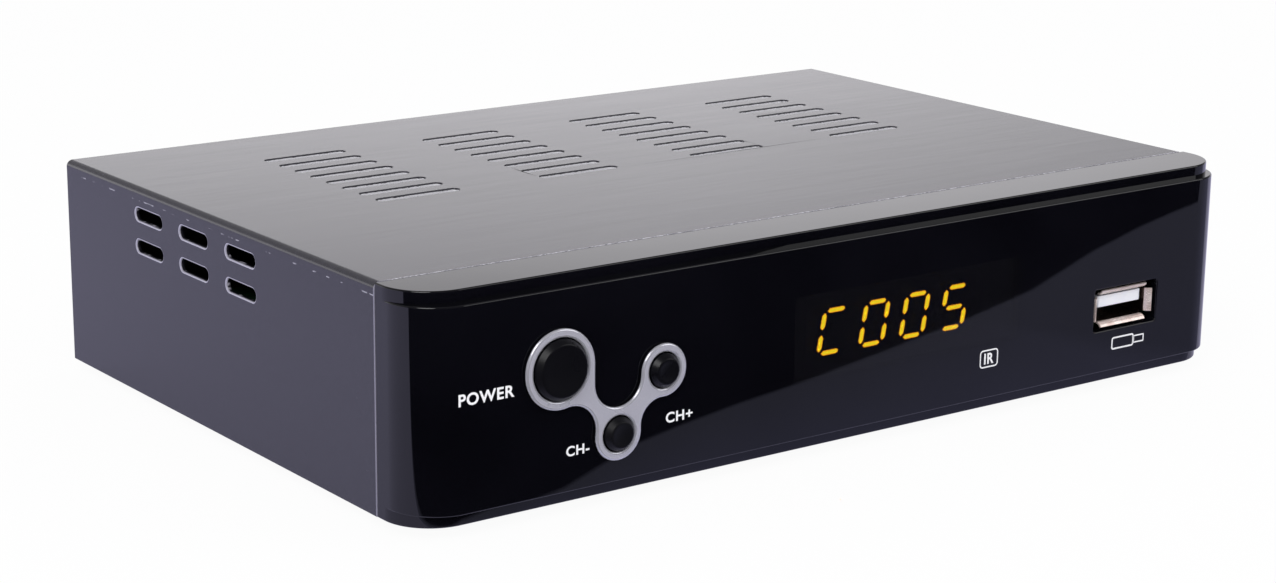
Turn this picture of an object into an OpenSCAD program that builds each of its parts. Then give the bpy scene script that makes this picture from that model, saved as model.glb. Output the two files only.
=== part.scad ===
// Digital television converter box: a folded steel case, a moulded gloss front
// with three push buttons and a number display, the sockets, and the boards inside.
// Each module draws in the case's own coordinates: X from the middle, Y backwards
// from the front lips, and Z up from the underside of the sheet metal.

/* [Case] */
// Width of the case
case_w = 180; // [178:1:190]
// Depth from the front lips to the back of the cover
case_d = 120; // [120:1:135]
// Height of the case without its feet
case_h = 38; // [38:0.5:44]
// Thickness of the folded steel sheet
sheet_t = 0.8; // [0.7:0.05:0.9]
// Outer radius of the two folds along the cover
fold_r = 1.2; // [1:0.1:2.4]
// Height of the rubber feet
foot_h = 2; // [1:0.5:4]
// Radius of the rubber feet
foot_r = 6; // [4:0.5:8]

/* [Front moulding] */
// Depth of the front moulding from its lips to the metal
bezel_d = 10.5; // [10:0.1:12]
// Thickness of the front moulding's walls
bezel_t = 2.5; // [2.3:0.1:2.6]
// Radius of the two front corners, seen from above
corner_r = 8.7; // [7.5:0.1:10]
// Height of the lip along the top and the bottom
lip_h = 2.2; // [1.6:0.1:3]
// How far the gloss face stands forward of the lips
face_proud = 1.5; // [1:0.1:1.6]
// Gap between the front moulding and the metal
seam_gap = 0.25; // [0.1:0.05:0.4]

/* [Buttons] */
// Place of the power button, X
power_x = -64; // [-66:0.5:-62]
// Place of the power button, Z
power_z = 22.9; // [22:0.1:24]
// Place of the channel down button, X
down_x = -52.7; // [-54:0.1:-52]
// Place of the channel down button, Z
down_z = 10.4; // [10:0.1:11]
// Place of the channel up button, X
up_x = -43.7; // [-45:0.1:-43]
// Place of the channel up button, Z
up_z = 19.5; // [19:0.1:20]
// Radius of the power button's hole
power_hole_r = 5.2; // [4.8:0.1:5.4]
// Radius of the channel buttons' holes
channel_hole_r = 3.05; // [2.8:0.05:3.2]
// Width of the silver trim around the holes
trim_w = 1.42; // [1.2:0.02:1.6]
// Thickness of the silver trim
trim_t = 0.8; // [0.5:0.1:1]
// How far the buttons stand forward of the trim
cap_proud = 1; // [0.1:0.1:1.2]
// Gap around each button in its hole
cap_gap = 0.2; // [0.15:0.05:0.3]
// Travel of each button
key_travel = 0.4; // [0.2:0.05:0.5]

/* [Display] */
// Middle of the four digits, X
digits_x = 7.6; // [4:0.1:10]
// Middle of the four digits, Z
digits_z = 19.8; // [18:0.1:21]
// Distance from digit to digit
digit_pitch = 9.27; // [8.5:0.01:10]
// Lean of the digits, in degrees
digit_lean = 10; // [0:1:12]
// Width of the smoked window
window_w = 52; // [50:1:54]
// Height of the smoked window
window_h = 15; // [14:0.5:16]

/* [Sockets] */
// Middle of the front memory socket, X
usb_x = 63.4; // [62:0.1:65]
// Middle of the front memory socket, Z
usb_z = 14.1; // [14:0.1:14.6]
// Distance between the two aerial sockets
aerial_pitch = 18; // [16:0.5:20]
// Thread radius of the aerial sockets
aerial_r = 4.76; // [4.7:0.01:4.8]
// Distance between the three picture and sound sockets
jack_pitch = 14; // [13:0.5:15]
// Sleeve radius of the picture and sound sockets
jack_r = 4.15; // [4.1:0.01:4.2]
// Bore radius of the power inlet
inlet_r = 3.15; // [2.9:0.05:3.2]
// Radius of the power inlet's pin
inlet_pin_r = 1; // [0.9:0.05:1.1]

/* [Boards] */
// Height of the pillars under the main board
pillar_h = 8.4; // [8.4:0.1:9]
// Thickness of the circuit boards
board_t = 1.6; // [1.2:0.1:1.6]
// Depth of the main board
board_d = 100; // [98:1:100]

/* [Vents] */
// Number of groups of slots in the top
vent_groups = 4; // [2:1:4]
// Number of slots in each group
vent_slots = 8; // [4:1:8]
// Length of one top slot
vent_l = 16.8; // [12:0.2:20]
// Width of one top slot
vent_w = 2.1; // [1.2:0.1:2.4]
// Length of one side slot
side_vent_l = 10.2; // [8:0.2:11]
// Width of one side slot
side_vent_w = 2.3; // [1.6:0.1:2.8]

/* [Hidden] */

// Curve quality of everything round
$fn = 64;
// A cut runs this far past the face that it opens
past = 1;
// Clearance between fixed pieces that pass each other
clear = 0.1;
// Gap around a round piece that sits fixed in another's hole
fit_gap = 0.05;

half_w = case_w / 2;
cover_front = bezel_d + seam_gap;
inner_w = case_w - 2 * sheet_t;

// Front face levels along Y
face_y = -face_proud;
trim_y = face_y - trim_t;
cap_y = trim_y - cap_proud;
bezel_in_y = face_y + bezel_t;

// Rear wall levels along Y
lip_in = case_d - sheet_t;
wall_out = lip_in - clear;
wall_in = wall_out - sheet_t;
aerial_end = wall_out + 10.4;

// Board levels
board_z = sheet_t + pillar_h;
board_top = board_z + board_t;
board_front = 13;
board_left = -62;
board_right = 86;
panel_board_y = 8;

// Trim outline
power_ring_r = power_hole_r + trim_w;
channel_ring_r = channel_hole_r + trim_w;
power_at = [power_x, power_z];
down_at = [down_x, down_z];
up_at = [up_x, up_z];

// Rear sockets, from the right of the case to its left
aerial_x = 66;
aerial_z = board_top + 8;
hdmi_x = 28;
hdmi_z = board_top + 3.1;
jack_x = -22;
jack_z = board_top + 9.2;
inlet_x = -53;
inlet_z = board_top + 6.5;

// Screws and pillars, in X and Y
pillar_at = [[-56, 22], [-56, 96], [80, 22], [80, 84], [8, 88]];
panel_screw_at = [[-73.5, 7.5], [-73.5, 31.5], [41, 7.5], [41, 31.5]];
cover_screw_x = [-62, 0, 62];

// Moves a shape from the case's coordinates to the whole box's frame:
// the origin is under the middle of its bounding box, on the table
module in_frame() {
    translate([0, -(cap_y + aerial_end) / 2, foot_h]) children();
}

// A box from its lowest corner to its highest corner
module box(low, high) {
    translate(low) cube(high - low);
}

// A flat outline, drawn in X and Z, made a plate from y0 to y1
module upright(y0, y1) {
    translate([0, y1, 0]) rotate([90, 0, 0]) linear_extrude(y1 - y0) children();
}

// A round bar along Y
module bar_y(x, z, r, y0, y1) {
    translate([x, y1, z]) rotate([90, 0, 0]) cylinder(h = y1 - y0, r = r);
}

// A tube along Y
module tube_y(x, z, r, bore_r, y0, y1) {
    difference() {
        bar_y(x, z, r, y0, y1);
        bar_y(x, z, bore_r, y0 - past, y1 + past);
    }
}

// A slot with round ends, lying along X
module slot(length, width) {
    square([length - width, width], center = true);
    for (side = [-1, 1])
        translate([side * (length - width) / 2, 0]) circle(width / 2);
}

// A rectangle with round corners, centred
module round_rect(w, h, r) {
    square([w - 2 * r, h], center = true);
    square([w, h - 2 * r], center = true);
    for (i = [-1, 1], j = [-1, 1])
        translate([i * (w / 2 - r), j * (h / 2 - r)]) circle(r);
}

// Centre of the fillet circle that touches two circles from outside, on the right
// hand of the line from the first circle's centre to the second's
function fillet_centre(a, ra, b, rb, r) =
    let (
        span = norm(b - a),
        u = (b - a) / span,
        along = (span * span + pow(ra + r, 2) - pow(rb + r, 2)) / (2 * span),
        off = sqrt(pow(ra + r, 2) - along * along)
    )
    a + along * u + off * [u.y, -u.x];

// The front moulding seen from above: round front corners and an open back
module bezel_plan(shift, inset, back) {
    r = corner_r - inset;
    corner_y = shift + corner_r;
    translate([-(half_w - corner_r), shift + inset])
        square([case_w - 2 * corner_r, back - shift - inset]);
    translate([-(half_w - inset), corner_y])
        square([case_w - 2 * inset, back - corner_y]);
    for (side = [-1, 1])
        translate([side * (half_w - corner_r), corner_y]) intersection() {
            circle(r);
            translate([-corner_r, -corner_r]) square([2 * corner_r, corner_r + clear]);
        }
}

// Rim behind the front moulding, which the metal cover slides over,
// and the nibs below it, which snap into the base
rim_d = 4;
rim_t = 1.5;
rim_r = 1.3;
rim_play = 0.15;
rim_w = inner_w - 2 * rim_play;
rim_h = case_h - 2 * sheet_t - 2 * rim_play;
nib_x = [-60, 0, 60];
nib_w = 6;
nib_d = 1.5;
nib_y = bezel_d + 1.6;
nib_play = 0.2;

module bezel_rim() {
    translate([0, 0, case_h / 2]) upright(bezel_d - clear, bezel_d + rim_d) difference() {
        round_rect(rim_w, rim_h, rim_r);
        square([rim_w - 2 * rim_t, rim_h - 2 * rim_t], center = true);
    }
    for (x = nib_x)
        box([x - nib_w / 2, nib_y, clear],
            [x + nib_w / 2, nib_y + nib_d, sheet_t + rim_play + rim_t]);
}

// Bosses for the front board's screws, and the openings of the front
boss_r = 2.4;
pilot_r = 1.3;
pilot_floor = bezel_in_y + 1;
peg_r = 0.6;
window_x = 10;
window_r = 1;
usb_cut = [16.2, 8.0];

// Places in the trim's two webs, where its pegs go through the front
low_web = [1.1, 0.6];
right_web = [-0.5, 0.5];
peg_at = [(power_at + down_at) / 2 + low_web, (up_at + down_at) / 2 + right_web];

module window_outline() {
    translate([window_x, digits_z])
        round_rect(window_w, window_h, window_r);
}

module front_bezel() in_frame() color("#0b0b0e") difference() {
    union() {
        difference() {
            union() {
                linear_extrude(case_h) bezel_plan(0, 0, bezel_d);
                translate([0, 0, lip_h])
                    linear_extrude(case_h - 2 * lip_h) bezel_plan(-face_proud, 0, bezel_d);
            }
            translate([0, 0, bezel_t])
                linear_extrude(case_h - 2 * bezel_t)
                    bezel_plan(-face_proud, bezel_t, bezel_d + past);
        }
        bezel_rim();
        for (at = panel_screw_at)
            bar_y(at.x, at.y, boss_r, bezel_in_y - clear, panel_board_y);
    }
    upright(face_y - past, bezel_in_y + clear) {
        window_outline();
        translate([usb_x, usb_z]) square(usb_cut, center = true);
    }
    bar_y(power_x, power_z, power_hole_r, face_y - past, bezel_in_y + past);
    for (at = [down_at, up_at])
        bar_y(at.x, at.y, channel_hole_r, face_y - past, bezel_in_y + past);
    for (at = panel_screw_at)
        bar_y(at.x, at.y, pilot_r, pilot_floor, panel_board_y + past);
    for (at = peg_at)
        bar_y(at.x, at.y, peg_r + fit_gap, face_y - past, bezel_in_y + past);
}

module display_window() in_frame() color("#15151a")
    upright(face_y, bezel_in_y) window_outline();

// The three rings and the webs between them: what the fillet circles leave of a polygon
low_r = 4.75;
right_r = 4.05;

module trim_outline() {
    cup_r = (up_x - channel_ring_r - power_x - power_ring_r) / 2;
    low_at = fillet_centre(power_at, power_ring_r, down_at, channel_ring_r, low_r);
    right_at = fillet_centre(down_at, channel_ring_r, up_at, channel_ring_r, right_r);
    cup_at = [power_x + power_ring_r + cup_r, down_z + channel_ring_r + cup_r];
    difference() {
        polygon([
            power_at, low_at, down_at, right_at, up_at,
            [cup_at.x, up_at.y], [cup_at.x, power_at.y]
        ]);
        translate(low_at) circle(low_r);
        translate(right_at) circle(right_r);
        translate(cup_at) circle(cup_r);
        translate([cup_at.x - cup_r, cup_at.y]) square([2 * cup_r, 2 * cup_r]);
    }
    translate(power_at) circle(power_ring_r);
    translate(down_at) circle(channel_ring_r);
    translate(up_at) circle(channel_ring_r);
}

peg_out = 0.3;

module button_trim() in_frame() color("#a2a2ae") {
    difference() {
        upright(trim_y, face_y) trim_outline();
        bar_y(power_x, power_z, power_hole_r, trim_y - past, face_y + past);
        for (at = [down_at, up_at])
            bar_y(at.x, at.y, channel_hole_r, trim_y - past, face_y + past);
    }
    for (at = peg_at)
        bar_y(at.x, at.y, peg_r, face_y - clear, bezel_in_y + peg_out);
}

// Buttons and the switches behind them
cap_rim_w = 0.9;
dish_d = 0.35;
flange_w = 1.2;
flange_t = 1;
stem_r = 2;
switch_w = 6;
switch_h = 3.5;
switch_y = panel_board_y - switch_h;
plunger_r = 1.75;
plunger_out = 1;
plunger_in = 1.2;
plunger_tip = switch_y - plunger_out;
plunger_end = switch_y + plunger_in;
plunger_room = 0.3;
plunger_stop = plunger_end + key_travel + plunger_room;

module key_cap(at, hole_r) {
    r = hole_r - cap_gap;
    difference() {
        bar_y(at.x, at.y, r, cap_y, bezel_in_y + clear);
        bar_y(at.x, at.y, r - cap_rim_w, cap_y - past, cap_y + dish_d);
    }
    bar_y(at.x, at.y, hole_r + flange_w, bezel_in_y, bezel_in_y + flange_t);
    bar_y(at.x, at.y, stem_r, bezel_in_y, plunger_tip);
}

module plunger(at)
    bar_y(at.x, at.y, plunger_r, plunger_tip, plunger_end);

module switch_body(at) difference() {
    upright(switch_y, panel_board_y) translate(at) square(switch_w, center = true);
    bar_y(at.x, at.y, plunger_r + clear, switch_y - past, plunger_stop);
}

module power_button() in_frame() color("#121216") key_cap(power_at, power_hole_r);
module channel_down_button() in_frame() color("#121216") key_cap(down_at, channel_hole_r);
module channel_up_button() in_frame() color("#121216") key_cap(up_at, channel_hole_r);
module power_plunger() in_frame() color("#d8d2c4") plunger(power_at);
module channel_down_plunger() in_frame() color("#d8d2c4") plunger(down_at);
module channel_up_plunger() in_frame() color("#d8d2c4") plunger(up_at);
module power_switch() in_frame() color("#2a2a2e") switch_body(power_at);
module channel_down_switch() in_frame() color("#2a2a2e") switch_body(down_at);
module channel_up_switch() in_frame() color("#2a2a2e") switch_body(up_at);

// Front board with what it carries
panel_back = panel_board_y + board_t;
panel_low = [-77, 4];
panel_high = [45, 34];
panel_hole_r = 1.5;
panel_screw_r = 1.25;
panel_head_r = 2.4;
panel_head_h = 1.6;
panel_screw_tip = pilot_floor + 0.6;
receiver_x = 31.5;
receiver_size = [6, 2.6, 7];
receiver_r = 2.5;

module front_board() in_frame() color("#2f5a36") difference() {
    box([panel_low.x, panel_board_y, panel_low.y], [panel_high.x, panel_back, panel_high.y]);
    for (at = panel_screw_at)
        bar_y(at.x, at.y, panel_hole_r, panel_board_y - past, panel_back + past);
}

module front_board_screws() in_frame() color("#c9c9ce") for (at = panel_screw_at) {
    bar_y(at.x, at.y, panel_screw_r, panel_screw_tip, panel_back + clear);
    bar_y(at.x, at.y, panel_head_r, panel_back, panel_back + panel_head_h);
}

display_size = [40, 12.6];
display_front = bezel_in_y + clear;
segment_t = 0.5;

// A digit's posts stand left and right of its middle, and its bars lie at three heights
post_x = 2.5;
post_z = 1.9;
post_l = 3.05;
post_w = 1.05;
bar_z = 3.65;
bar_l = 3.9;
bar_w = 0.85;

// Corners of one pointed segment around its own middle, lying along X
function pointed(length, width) = [
    for (p = [[-1, 0], [-1, 1], [1, 1], [1, 0], [1, -1], [-1, -1]])
        [p.x * (length - (p.y == 0 ? 0 : width)) / 2, p.y * width / 2]
];

// The same corners at a place in the leaning digit, as a bar or as an upright post
function leaning(points, at, post) = [
    for (p = points)
        let (q = at + (post ? [p.y, p.x] : p))
        [q.x + q.y * tan(digit_lean), q.y]
];

function a_bar(z) = leaning(pointed(bar_l, bar_w), [0, z], false);
function a_post(x, z) = leaning(pointed(post_l, post_w), [x, z], true);

// The seven segments of a digit: top, upper right, lower right, bottom,
// lower left, upper left and middle
digit_segments = [
    a_bar(bar_z), a_post(post_x, post_z), a_post(post_x, -post_z), a_bar(-bar_z),
    a_post(-post_x, -post_z), a_post(-post_x, post_z), a_bar(0)
];

// Which segments are lit for the letter C and the numbers 0, 0 and 5
lit = [[0, 3, 4, 5], [0, 1, 2, 3, 4, 5], [0, 1, 2, 3, 4, 5], [0, 2, 3, 5, 6]];

module segments(wanted)
    for (digit = [0:3], i = [0:6])
        if ((len(search(i, lit[digit])) > 0) == wanted)
            translate([digits_x + (digit - 1.5) * digit_pitch, digits_z])
                polygon(digit_segments[i]);

module led_display() in_frame() color("#1c1c20") difference() {
    upright(display_front, panel_board_y)
        translate([digits_x, digits_z]) square(display_size, center = true);
    upright(display_front - past, display_front + segment_t) {
        segments(true);
        segments(false);
    }
}

module lit_segments() in_frame() color("#ffc21e")
    upright(display_front, display_front + segment_t) segments(true);

module dark_segments() in_frame() color("#33302c")
    upright(display_front, display_front + segment_t) segments(false);

module infrared_receiver() in_frame() color("#1a1416") {
    translate([receiver_x, panel_board_y - receiver_size.y / 2, digits_z])
        cube(receiver_size, center = true);
    translate([receiver_x, panel_board_y - receiver_size.y, digits_z]) sphere(receiver_r);
}

// Memory socket on the front edge of the main board
usb_w = 13.1;
usb_h = 5.9;
usb_t = 0.4;
usb_front = -1.1;
usb_back = usb_front + 14.5;
usb_lip_t = 0.6;
usb_lip_w = 12.1;
usb_lip_h = 4.2;
usb_lip_rise = 0.65;
usb_lip_out = 1.05;

module usb_shell() in_frame() color("#c7b8b4") translate([usb_x, 0, usb_z]) difference() {
    union() {
        upright(usb_front, usb_back) square([usb_w, usb_h], center = true);
        upright(usb_front, usb_front + usb_lip_t) {
            square([usb_lip_w, usb_h + 2 * usb_lip_rise], center = true);
            square([usb_w + 2 * usb_lip_out, usb_lip_h], center = true);
        }
    }
    upright(usb_front - past, usb_back - usb_t)
        square([usb_w - 2 * usb_t, usb_h - 2 * usb_t], center = true);
}

usb_tongue_w = 11.2;
usb_tongue_y = 0.2;
usb_tongue_z = [0, 2.2];
usb_core_y = usb_back - usb_t - 2;
usb_core_w = usb_w - 2 * usb_t - clear;
usb_core_h = usb_h - 2 * usb_t - clear;
usb_contact_x = [-3.5, -1, 1, 3.5];
usb_contact = [1, 0.25];
usb_contact_y = usb_tongue_y + 1;

module usb_tongue() in_frame() color("#eef0f6") translate([usb_x, 0, usb_z]) {
    box([-usb_tongue_w / 2, usb_tongue_y, usb_tongue_z[0]],
        [usb_tongue_w / 2, usb_core_y + clear, usb_tongue_z[1]]);
    upright(usb_core_y, usb_back - usb_t) square([usb_core_w, usb_core_h], center = true);
}

module usb_contacts() in_frame() color("#d9b45a") for (x = usb_contact_x)
    translate([usb_x + x, 0, usb_z + usb_tongue_z[0]])
        box([-usb_contact.x / 2, usb_contact_y, -usb_contact.y],
            [usb_contact.x / 2, usb_core_y - clear, 0]);

// Metal base: floor, side flanges and rear wall from one folded sheet
floor_half = half_w - sheet_t - clear;
flange_h = 10;
flange_y = bezel_d + rim_d + 1.5;
wall_h = case_h - sheet_t - clear;
wall_notch = [1.5, 1.2];
floor_vent_x = [-40, 40];
floor_vent_y = 48;
floor_vent_n = 6;
vent_pitch = 5.65;
screw_r = 1.3;

module base_chassis() in_frame() color("#47474d") difference() {
    union() {
        box([-floor_half, cover_front, 0], [floor_half, wall_out, sheet_t]);
        for (side = [-1, 1])
            translate([side * (floor_half - sheet_t / 2), 0, 0])
                box([-sheet_t / 2, flange_y, 0], [sheet_t / 2, wall_in, flange_h]);
        box([-floor_half, wall_in, 0], [floor_half, wall_out, wall_h - wall_notch.y]);
        box([-floor_half + wall_notch.x, wall_in, 0],
            [floor_half - wall_notch.x, wall_out, wall_h]);
    }
    for (x = nib_x)
        box([x - nib_w / 2 - nib_play, nib_y - nib_play, -past],
            [x + nib_w / 2 + nib_play, nib_y + nib_d + nib_play, sheet_t + past]);
    for (x = floor_vent_x, i = [0:floor_vent_n - 1])
        translate([x, floor_vent_y + i * vent_pitch, -past])
            linear_extrude(sheet_t + 2 * past) slot(vent_l, vent_w);
    for (side = [-1, 1])
        bar_y(aerial_x + side * aerial_pitch / 2, aerial_z, aerial_r + clear,
            wall_in - past, wall_out + past);
    for (i = [-1:1])
        bar_y(jack_x + i * jack_pitch, jack_z, jack_boss_r + clear,
            wall_in - past, wall_out + past);
    bar_y(inlet_x, inlet_z, inlet_nose_r + clear, wall_in - past, wall_out + past);
    translate([hdmi_x, 0, hdmi_z])
        upright(wall_in - past, wall_out + past) hdmi_outline(hdmi_play);
    for (x = cover_screw_x)
        bar_y(x, cover_screw_z, screw_r, wall_in - past, wall_out + past);
}

// Metal cover: top, two sides and a lip down the back, from one folded sheet
cover_screw_z = case_h - 5;
screw_play = 0.3;
back_lip_h = 9;
back_lip_in = 4;
side_vent_y = [53.7, 70.3, 87];
side_vent_z = [case_h - 4.7, case_h - 10.5];
vent_front = 59.4;
vent_group_pitch = 34.4;

module cover_section() difference() {
    union() {
        translate([-half_w, 0]) square([case_w, case_h - fold_r]);
        translate([-half_w + fold_r, 0]) square([case_w - 2 * fold_r, case_h]);
        for (side = [-1, 1])
            translate([side * (half_w - fold_r), case_h - fold_r]) circle(fold_r);
    }
    inner_r = fold_r - sheet_t;
    translate([-half_w + sheet_t, -past])
        square([inner_w, case_h - fold_r + past]);
    translate([-half_w + fold_r, -past])
        square([case_w - 2 * fold_r, case_h - sheet_t + past]);
    for (side = [-1, 1])
        translate([side * (half_w - fold_r), case_h - fold_r]) circle(inner_r);
}

module top_cover() in_frame() color("#5a5a61") difference() {
    union() {
        upright(cover_front, case_d) cover_section();
        box([-half_w + back_lip_in, lip_in, case_h - back_lip_h],
            [half_w - back_lip_in, case_d, case_h - sheet_t / 2]);
    }
    for (group = [0:vent_groups - 1], i = [0:vent_slots - 1])
        translate([(group - (vent_groups - 1) / 2) * vent_group_pitch,
            vent_front + i * vent_pitch, case_h - sheet_t - past])
            linear_extrude(sheet_t + 2 * past) slot(vent_l, vent_w);
    for (y = side_vent_y, z = side_vent_z)
        translate([-half_w - past, y, z]) rotate([90, 0, 90])
            linear_extrude(case_w + 2 * past) slot(side_vent_l, side_vent_w);
    for (x = cover_screw_x)
        bar_y(x, cover_screw_z, screw_r + screw_play, lip_in - past, case_d + past);
}

// The recess of a cross-headed screw
module cross(length, width) {
    square([length, width], center = true);
    square([width, length], center = true);
}

cover_screw_l = 4;
cover_head_r = 2.6;
cover_head_h = 1.7;
cross_l = 2.6;
cross_w = 0.6;
cross_d = 0.9;

module cover_screws() in_frame() color("#2c2c30") for (x = cover_screw_x) difference() {
    union() {
        bar_y(x, cover_screw_z, screw_r - fit_gap, wall_in - cover_screw_l, case_d + clear);
        bar_y(x, cover_screw_z, cover_head_r, case_d, case_d + cover_head_h);
    }
    translate([x, 0, cover_screw_z])
        upright(case_d + cover_head_h - cross_d, case_d + cover_head_h + past)
            cross(cross_l, cross_w);
}

// Feet, with their lower edge drawn in a little
foot_in = 14;
foot_front = 26;
foot_edge = 0.4;

module rubber_feet() in_frame() color("#1b1b1d")
    for (x = [-1, 1] * (half_w - foot_in), y = [foot_front, case_d - foot_in])
        translate([x, y, -foot_h]) {
            cylinder(h = foot_edge, r1 = foot_r - foot_edge, r2 = foot_r);
            translate([0, 0, foot_edge]) cylinder(h = foot_h - foot_edge, r = foot_r);
        }

// Main board with its forward tongue for the memory socket
pillar_r = 3.2;
pillar_bore_r = 1.5;
pillar_floor = 1;
board_hole_r = 1.7;
board_head_r = 2.8;
board_head_h = 1.8;
board_screw_l = 6;
tongue_w = 22;
tongue_front = 3;

module main_board() in_frame() color("#2c6e3f") difference() {
    union() {
        box([board_left, board_front, board_z], [board_right, board_front + board_d, board_top]);
        box([usb_x - tongue_w / 2, tongue_front, board_z],
            [usb_x + tongue_w / 2, board_front + clear, board_top]);
    }
    for (at = pillar_at)
        translate([at.x, at.y, board_z - past])
            cylinder(h = board_t + 2 * past, r = board_hole_r);
}

module board_pillars() in_frame() color("#c8a24a") for (at = pillar_at)
    translate([at.x, at.y, sheet_t]) difference() {
        cylinder(h = pillar_h, r = pillar_r, $fn = 6);
        translate([0, 0, pillar_floor]) cylinder(h = pillar_h, r = pillar_bore_r);
    }

module board_screws() in_frame() color("#c9c9ce") for (at = pillar_at)
    translate([at.x, at.y, board_top]) difference() {
        union() {
            cylinder(h = board_head_h, r = board_head_r);
            translate([0, 0, -board_screw_l])
                cylinder(h = board_screw_l + clear, r = pillar_bore_r - fit_gap);
        }
        translate([0, 0, board_head_h - cross_d])
            linear_extrude(cross_d + past) cross(cross_l, cross_w);
    }

// Aerial sockets on the tuner's screened can
can_t = 0.5;
can_w = 36;
can_d = 26;
can_h = 15.6;
can_back = wall_in - clear;
aerial_neck_r = aerial_r - 0.4;
aerial_bore_r = 3.4;
aerial_bore_y = wall_in - 4;
aerial_root_r = 5.6;
aerial_root_t = 1.2;
aerial_root_y = can_back - can_t;
nut_y = wall_out + 2;
nut_r = 6.35;
insulator_y = wall_in - 1.8;
insulator_end = aerial_end - 1;
core_hole_r = 0.65;
core_hole_d = 5;
contact_r = 0.9;
contact_y = wall_in - 8;

module tuner_can() in_frame() color("#b9bcc0") difference() {
    box([aerial_x - can_w / 2, can_back - can_d, board_top],
        [aerial_x + can_w / 2, can_back, board_top + can_h]);
    box([aerial_x - can_w / 2 + can_t, can_back - can_d + can_t, board_top - past],
        [aerial_x + can_w / 2 - can_t, can_back - can_t, board_top + can_h - can_t]);
    for (side = [-1, 1])
        bar_y(aerial_x + side * aerial_pitch / 2, aerial_z, aerial_neck_r + fit_gap,
            aerial_root_y - past, can_back + past);
}

module aerial_socket(x) difference() {
    union() {
        bar_y(x, aerial_z, aerial_root_r, aerial_root_y - aerial_root_t, aerial_root_y);
        bar_y(x, aerial_z, aerial_neck_r, aerial_root_y - clear, nut_y + clear);
        bar_y(x, aerial_z, aerial_r, nut_y, aerial_end);
    }
    bar_y(x, aerial_z, aerial_bore_r, aerial_bore_y, aerial_end + past);
}

module aerial_insulator(x) difference() {
    bar_y(x, aerial_z, aerial_bore_r - fit_gap, insulator_y, insulator_end);
    bar_y(x, aerial_z, core_hole_r, insulator_end - core_hole_d - clear, aerial_end);
    bar_y(x, aerial_z, contact_r + fit_gap, insulator_y - past, insulator_end - core_hole_d);
}

module aerial_in_socket() in_frame() color("#c9ccd0")
    aerial_socket(aerial_x + aerial_pitch / 2);
module aerial_out_socket() in_frame() color("#c9ccd0")
    aerial_socket(aerial_x - aerial_pitch / 2);
module aerial_in_insulator() in_frame() color("#f1f0ea")
    aerial_insulator(aerial_x + aerial_pitch / 2);
module aerial_out_insulator() in_frame() color("#f1f0ea")
    aerial_insulator(aerial_x - aerial_pitch / 2);

module aerial_contacts() in_frame() color("#d9b45a") for (side = [-1, 1])
    bar_y(aerial_x + side * aerial_pitch / 2, aerial_z, contact_r,
        contact_y, insulator_end - core_hole_d - 2 * clear);

module aerial_nuts() in_frame() color("#b9bcc0") for (side = [-1, 1])
    translate([aerial_x + side * aerial_pitch / 2, nut_y, aerial_z])
        rotate([90, 0, 0]) difference() {
            cylinder(h = nut_y - wall_out, r = nut_r, $fn = 6);
            translate([0, 0, -past])
                cylinder(h = nut_y - wall_out + 2 * past, r = aerial_neck_r + fit_gap);
        }

// Picture socket: wide at the top, drawn in at the bottom
hdmi_t = 0.45;
hdmi_top = [7.6, 2.95];
hdmi_waist = -0.5;
hdmi_foot = 5.9;
hdmi_play = 0.15;
hdmi_front = wall_out + 0.6;
hdmi_back = hdmi_front - 12;
hdmi_core = 3.4;
hdmi_blade = [10.6, 1.1];
hdmi_blade_z = 0.1;
hdmi_blade_in = 1.2;

module hdmi_outline(grow) {
    wide = hdmi_top.x + grow;
    tall = hdmi_top.y + grow;
    waist = hdmi_waist - grow / 2;
    foot = hdmi_foot + grow / 2;
    polygon([[-wide, tall], [wide, tall], [wide, waist], [foot, -tall], [-foot, -tall],
        [-wide, waist]]);
}

module hdmi_shell() in_frame() color("#c4c7cb") translate([hdmi_x, 0, hdmi_z])
    difference() {
        upright(hdmi_back, hdmi_front) hdmi_outline(0);
        upright(hdmi_back + hdmi_t, hdmi_front + past) hdmi_outline(-hdmi_t);
    }

module hdmi_tongue() in_frame() color("#1f1f22") translate([hdmi_x, 0, hdmi_z]) {
    upright(hdmi_back + hdmi_core - clear, hdmi_front - hdmi_blade_in)
        translate([0, hdmi_blade_z]) square(hdmi_blade, center = true);
    upright(hdmi_back + hdmi_t, hdmi_back + hdmi_core) hdmi_outline(-hdmi_t - fit_gap);
}

// Picture and sound sockets: sleeves and coloured inserts in one black block
jack_root_r = jack_r - 0.3;
jack_boss_r = 5.6;
jack_bore_r = 1.75;
jack_core_r = 3.1;
jack_base = wall_in - 6.2;
jack_base_t = 2;
jack_boss_end = wall_out + 1.5;
jack_core_in = 0.6;
jack_end = wall_out + 9;
block_d = 13;
block_top = 7.4;

module jack_block() in_frame() color("#1d1d20") difference() {
    box([jack_x - 1.5 * jack_pitch, wall_in - block_d, board_top],
        [jack_x + 1.5 * jack_pitch, wall_in - clear, jack_z + block_top]);
    for (i = [-1:1])
        bar_y(jack_x + i * jack_pitch, jack_z, jack_boss_r + fit_gap, jack_base, wall_in + past);
}

module jack_sleeve(x) difference() {
    union() {
        bar_y(x, jack_z, jack_root_r, jack_base + jack_base_t + fit_gap, jack_boss_end + clear);
        bar_y(x, jack_z, jack_r, jack_boss_end, jack_end);
    }
    bar_y(x, jack_z, jack_core_r + fit_gap, jack_base, jack_end + past);
}

module jack_insert(x) difference() {
    union() {
        bar_y(x, jack_z, jack_boss_r, jack_base, jack_base + jack_base_t);
        tube_y(x, jack_z, jack_boss_r, jack_root_r + fit_gap,
            jack_base + jack_base_t - clear, jack_boss_end);
        bar_y(x, jack_z, jack_core_r, jack_base + jack_base_t - clear, jack_end - jack_core_in);
    }
    bar_y(x, jack_z, jack_bore_r, jack_base - past, jack_end + past);
}

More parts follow.
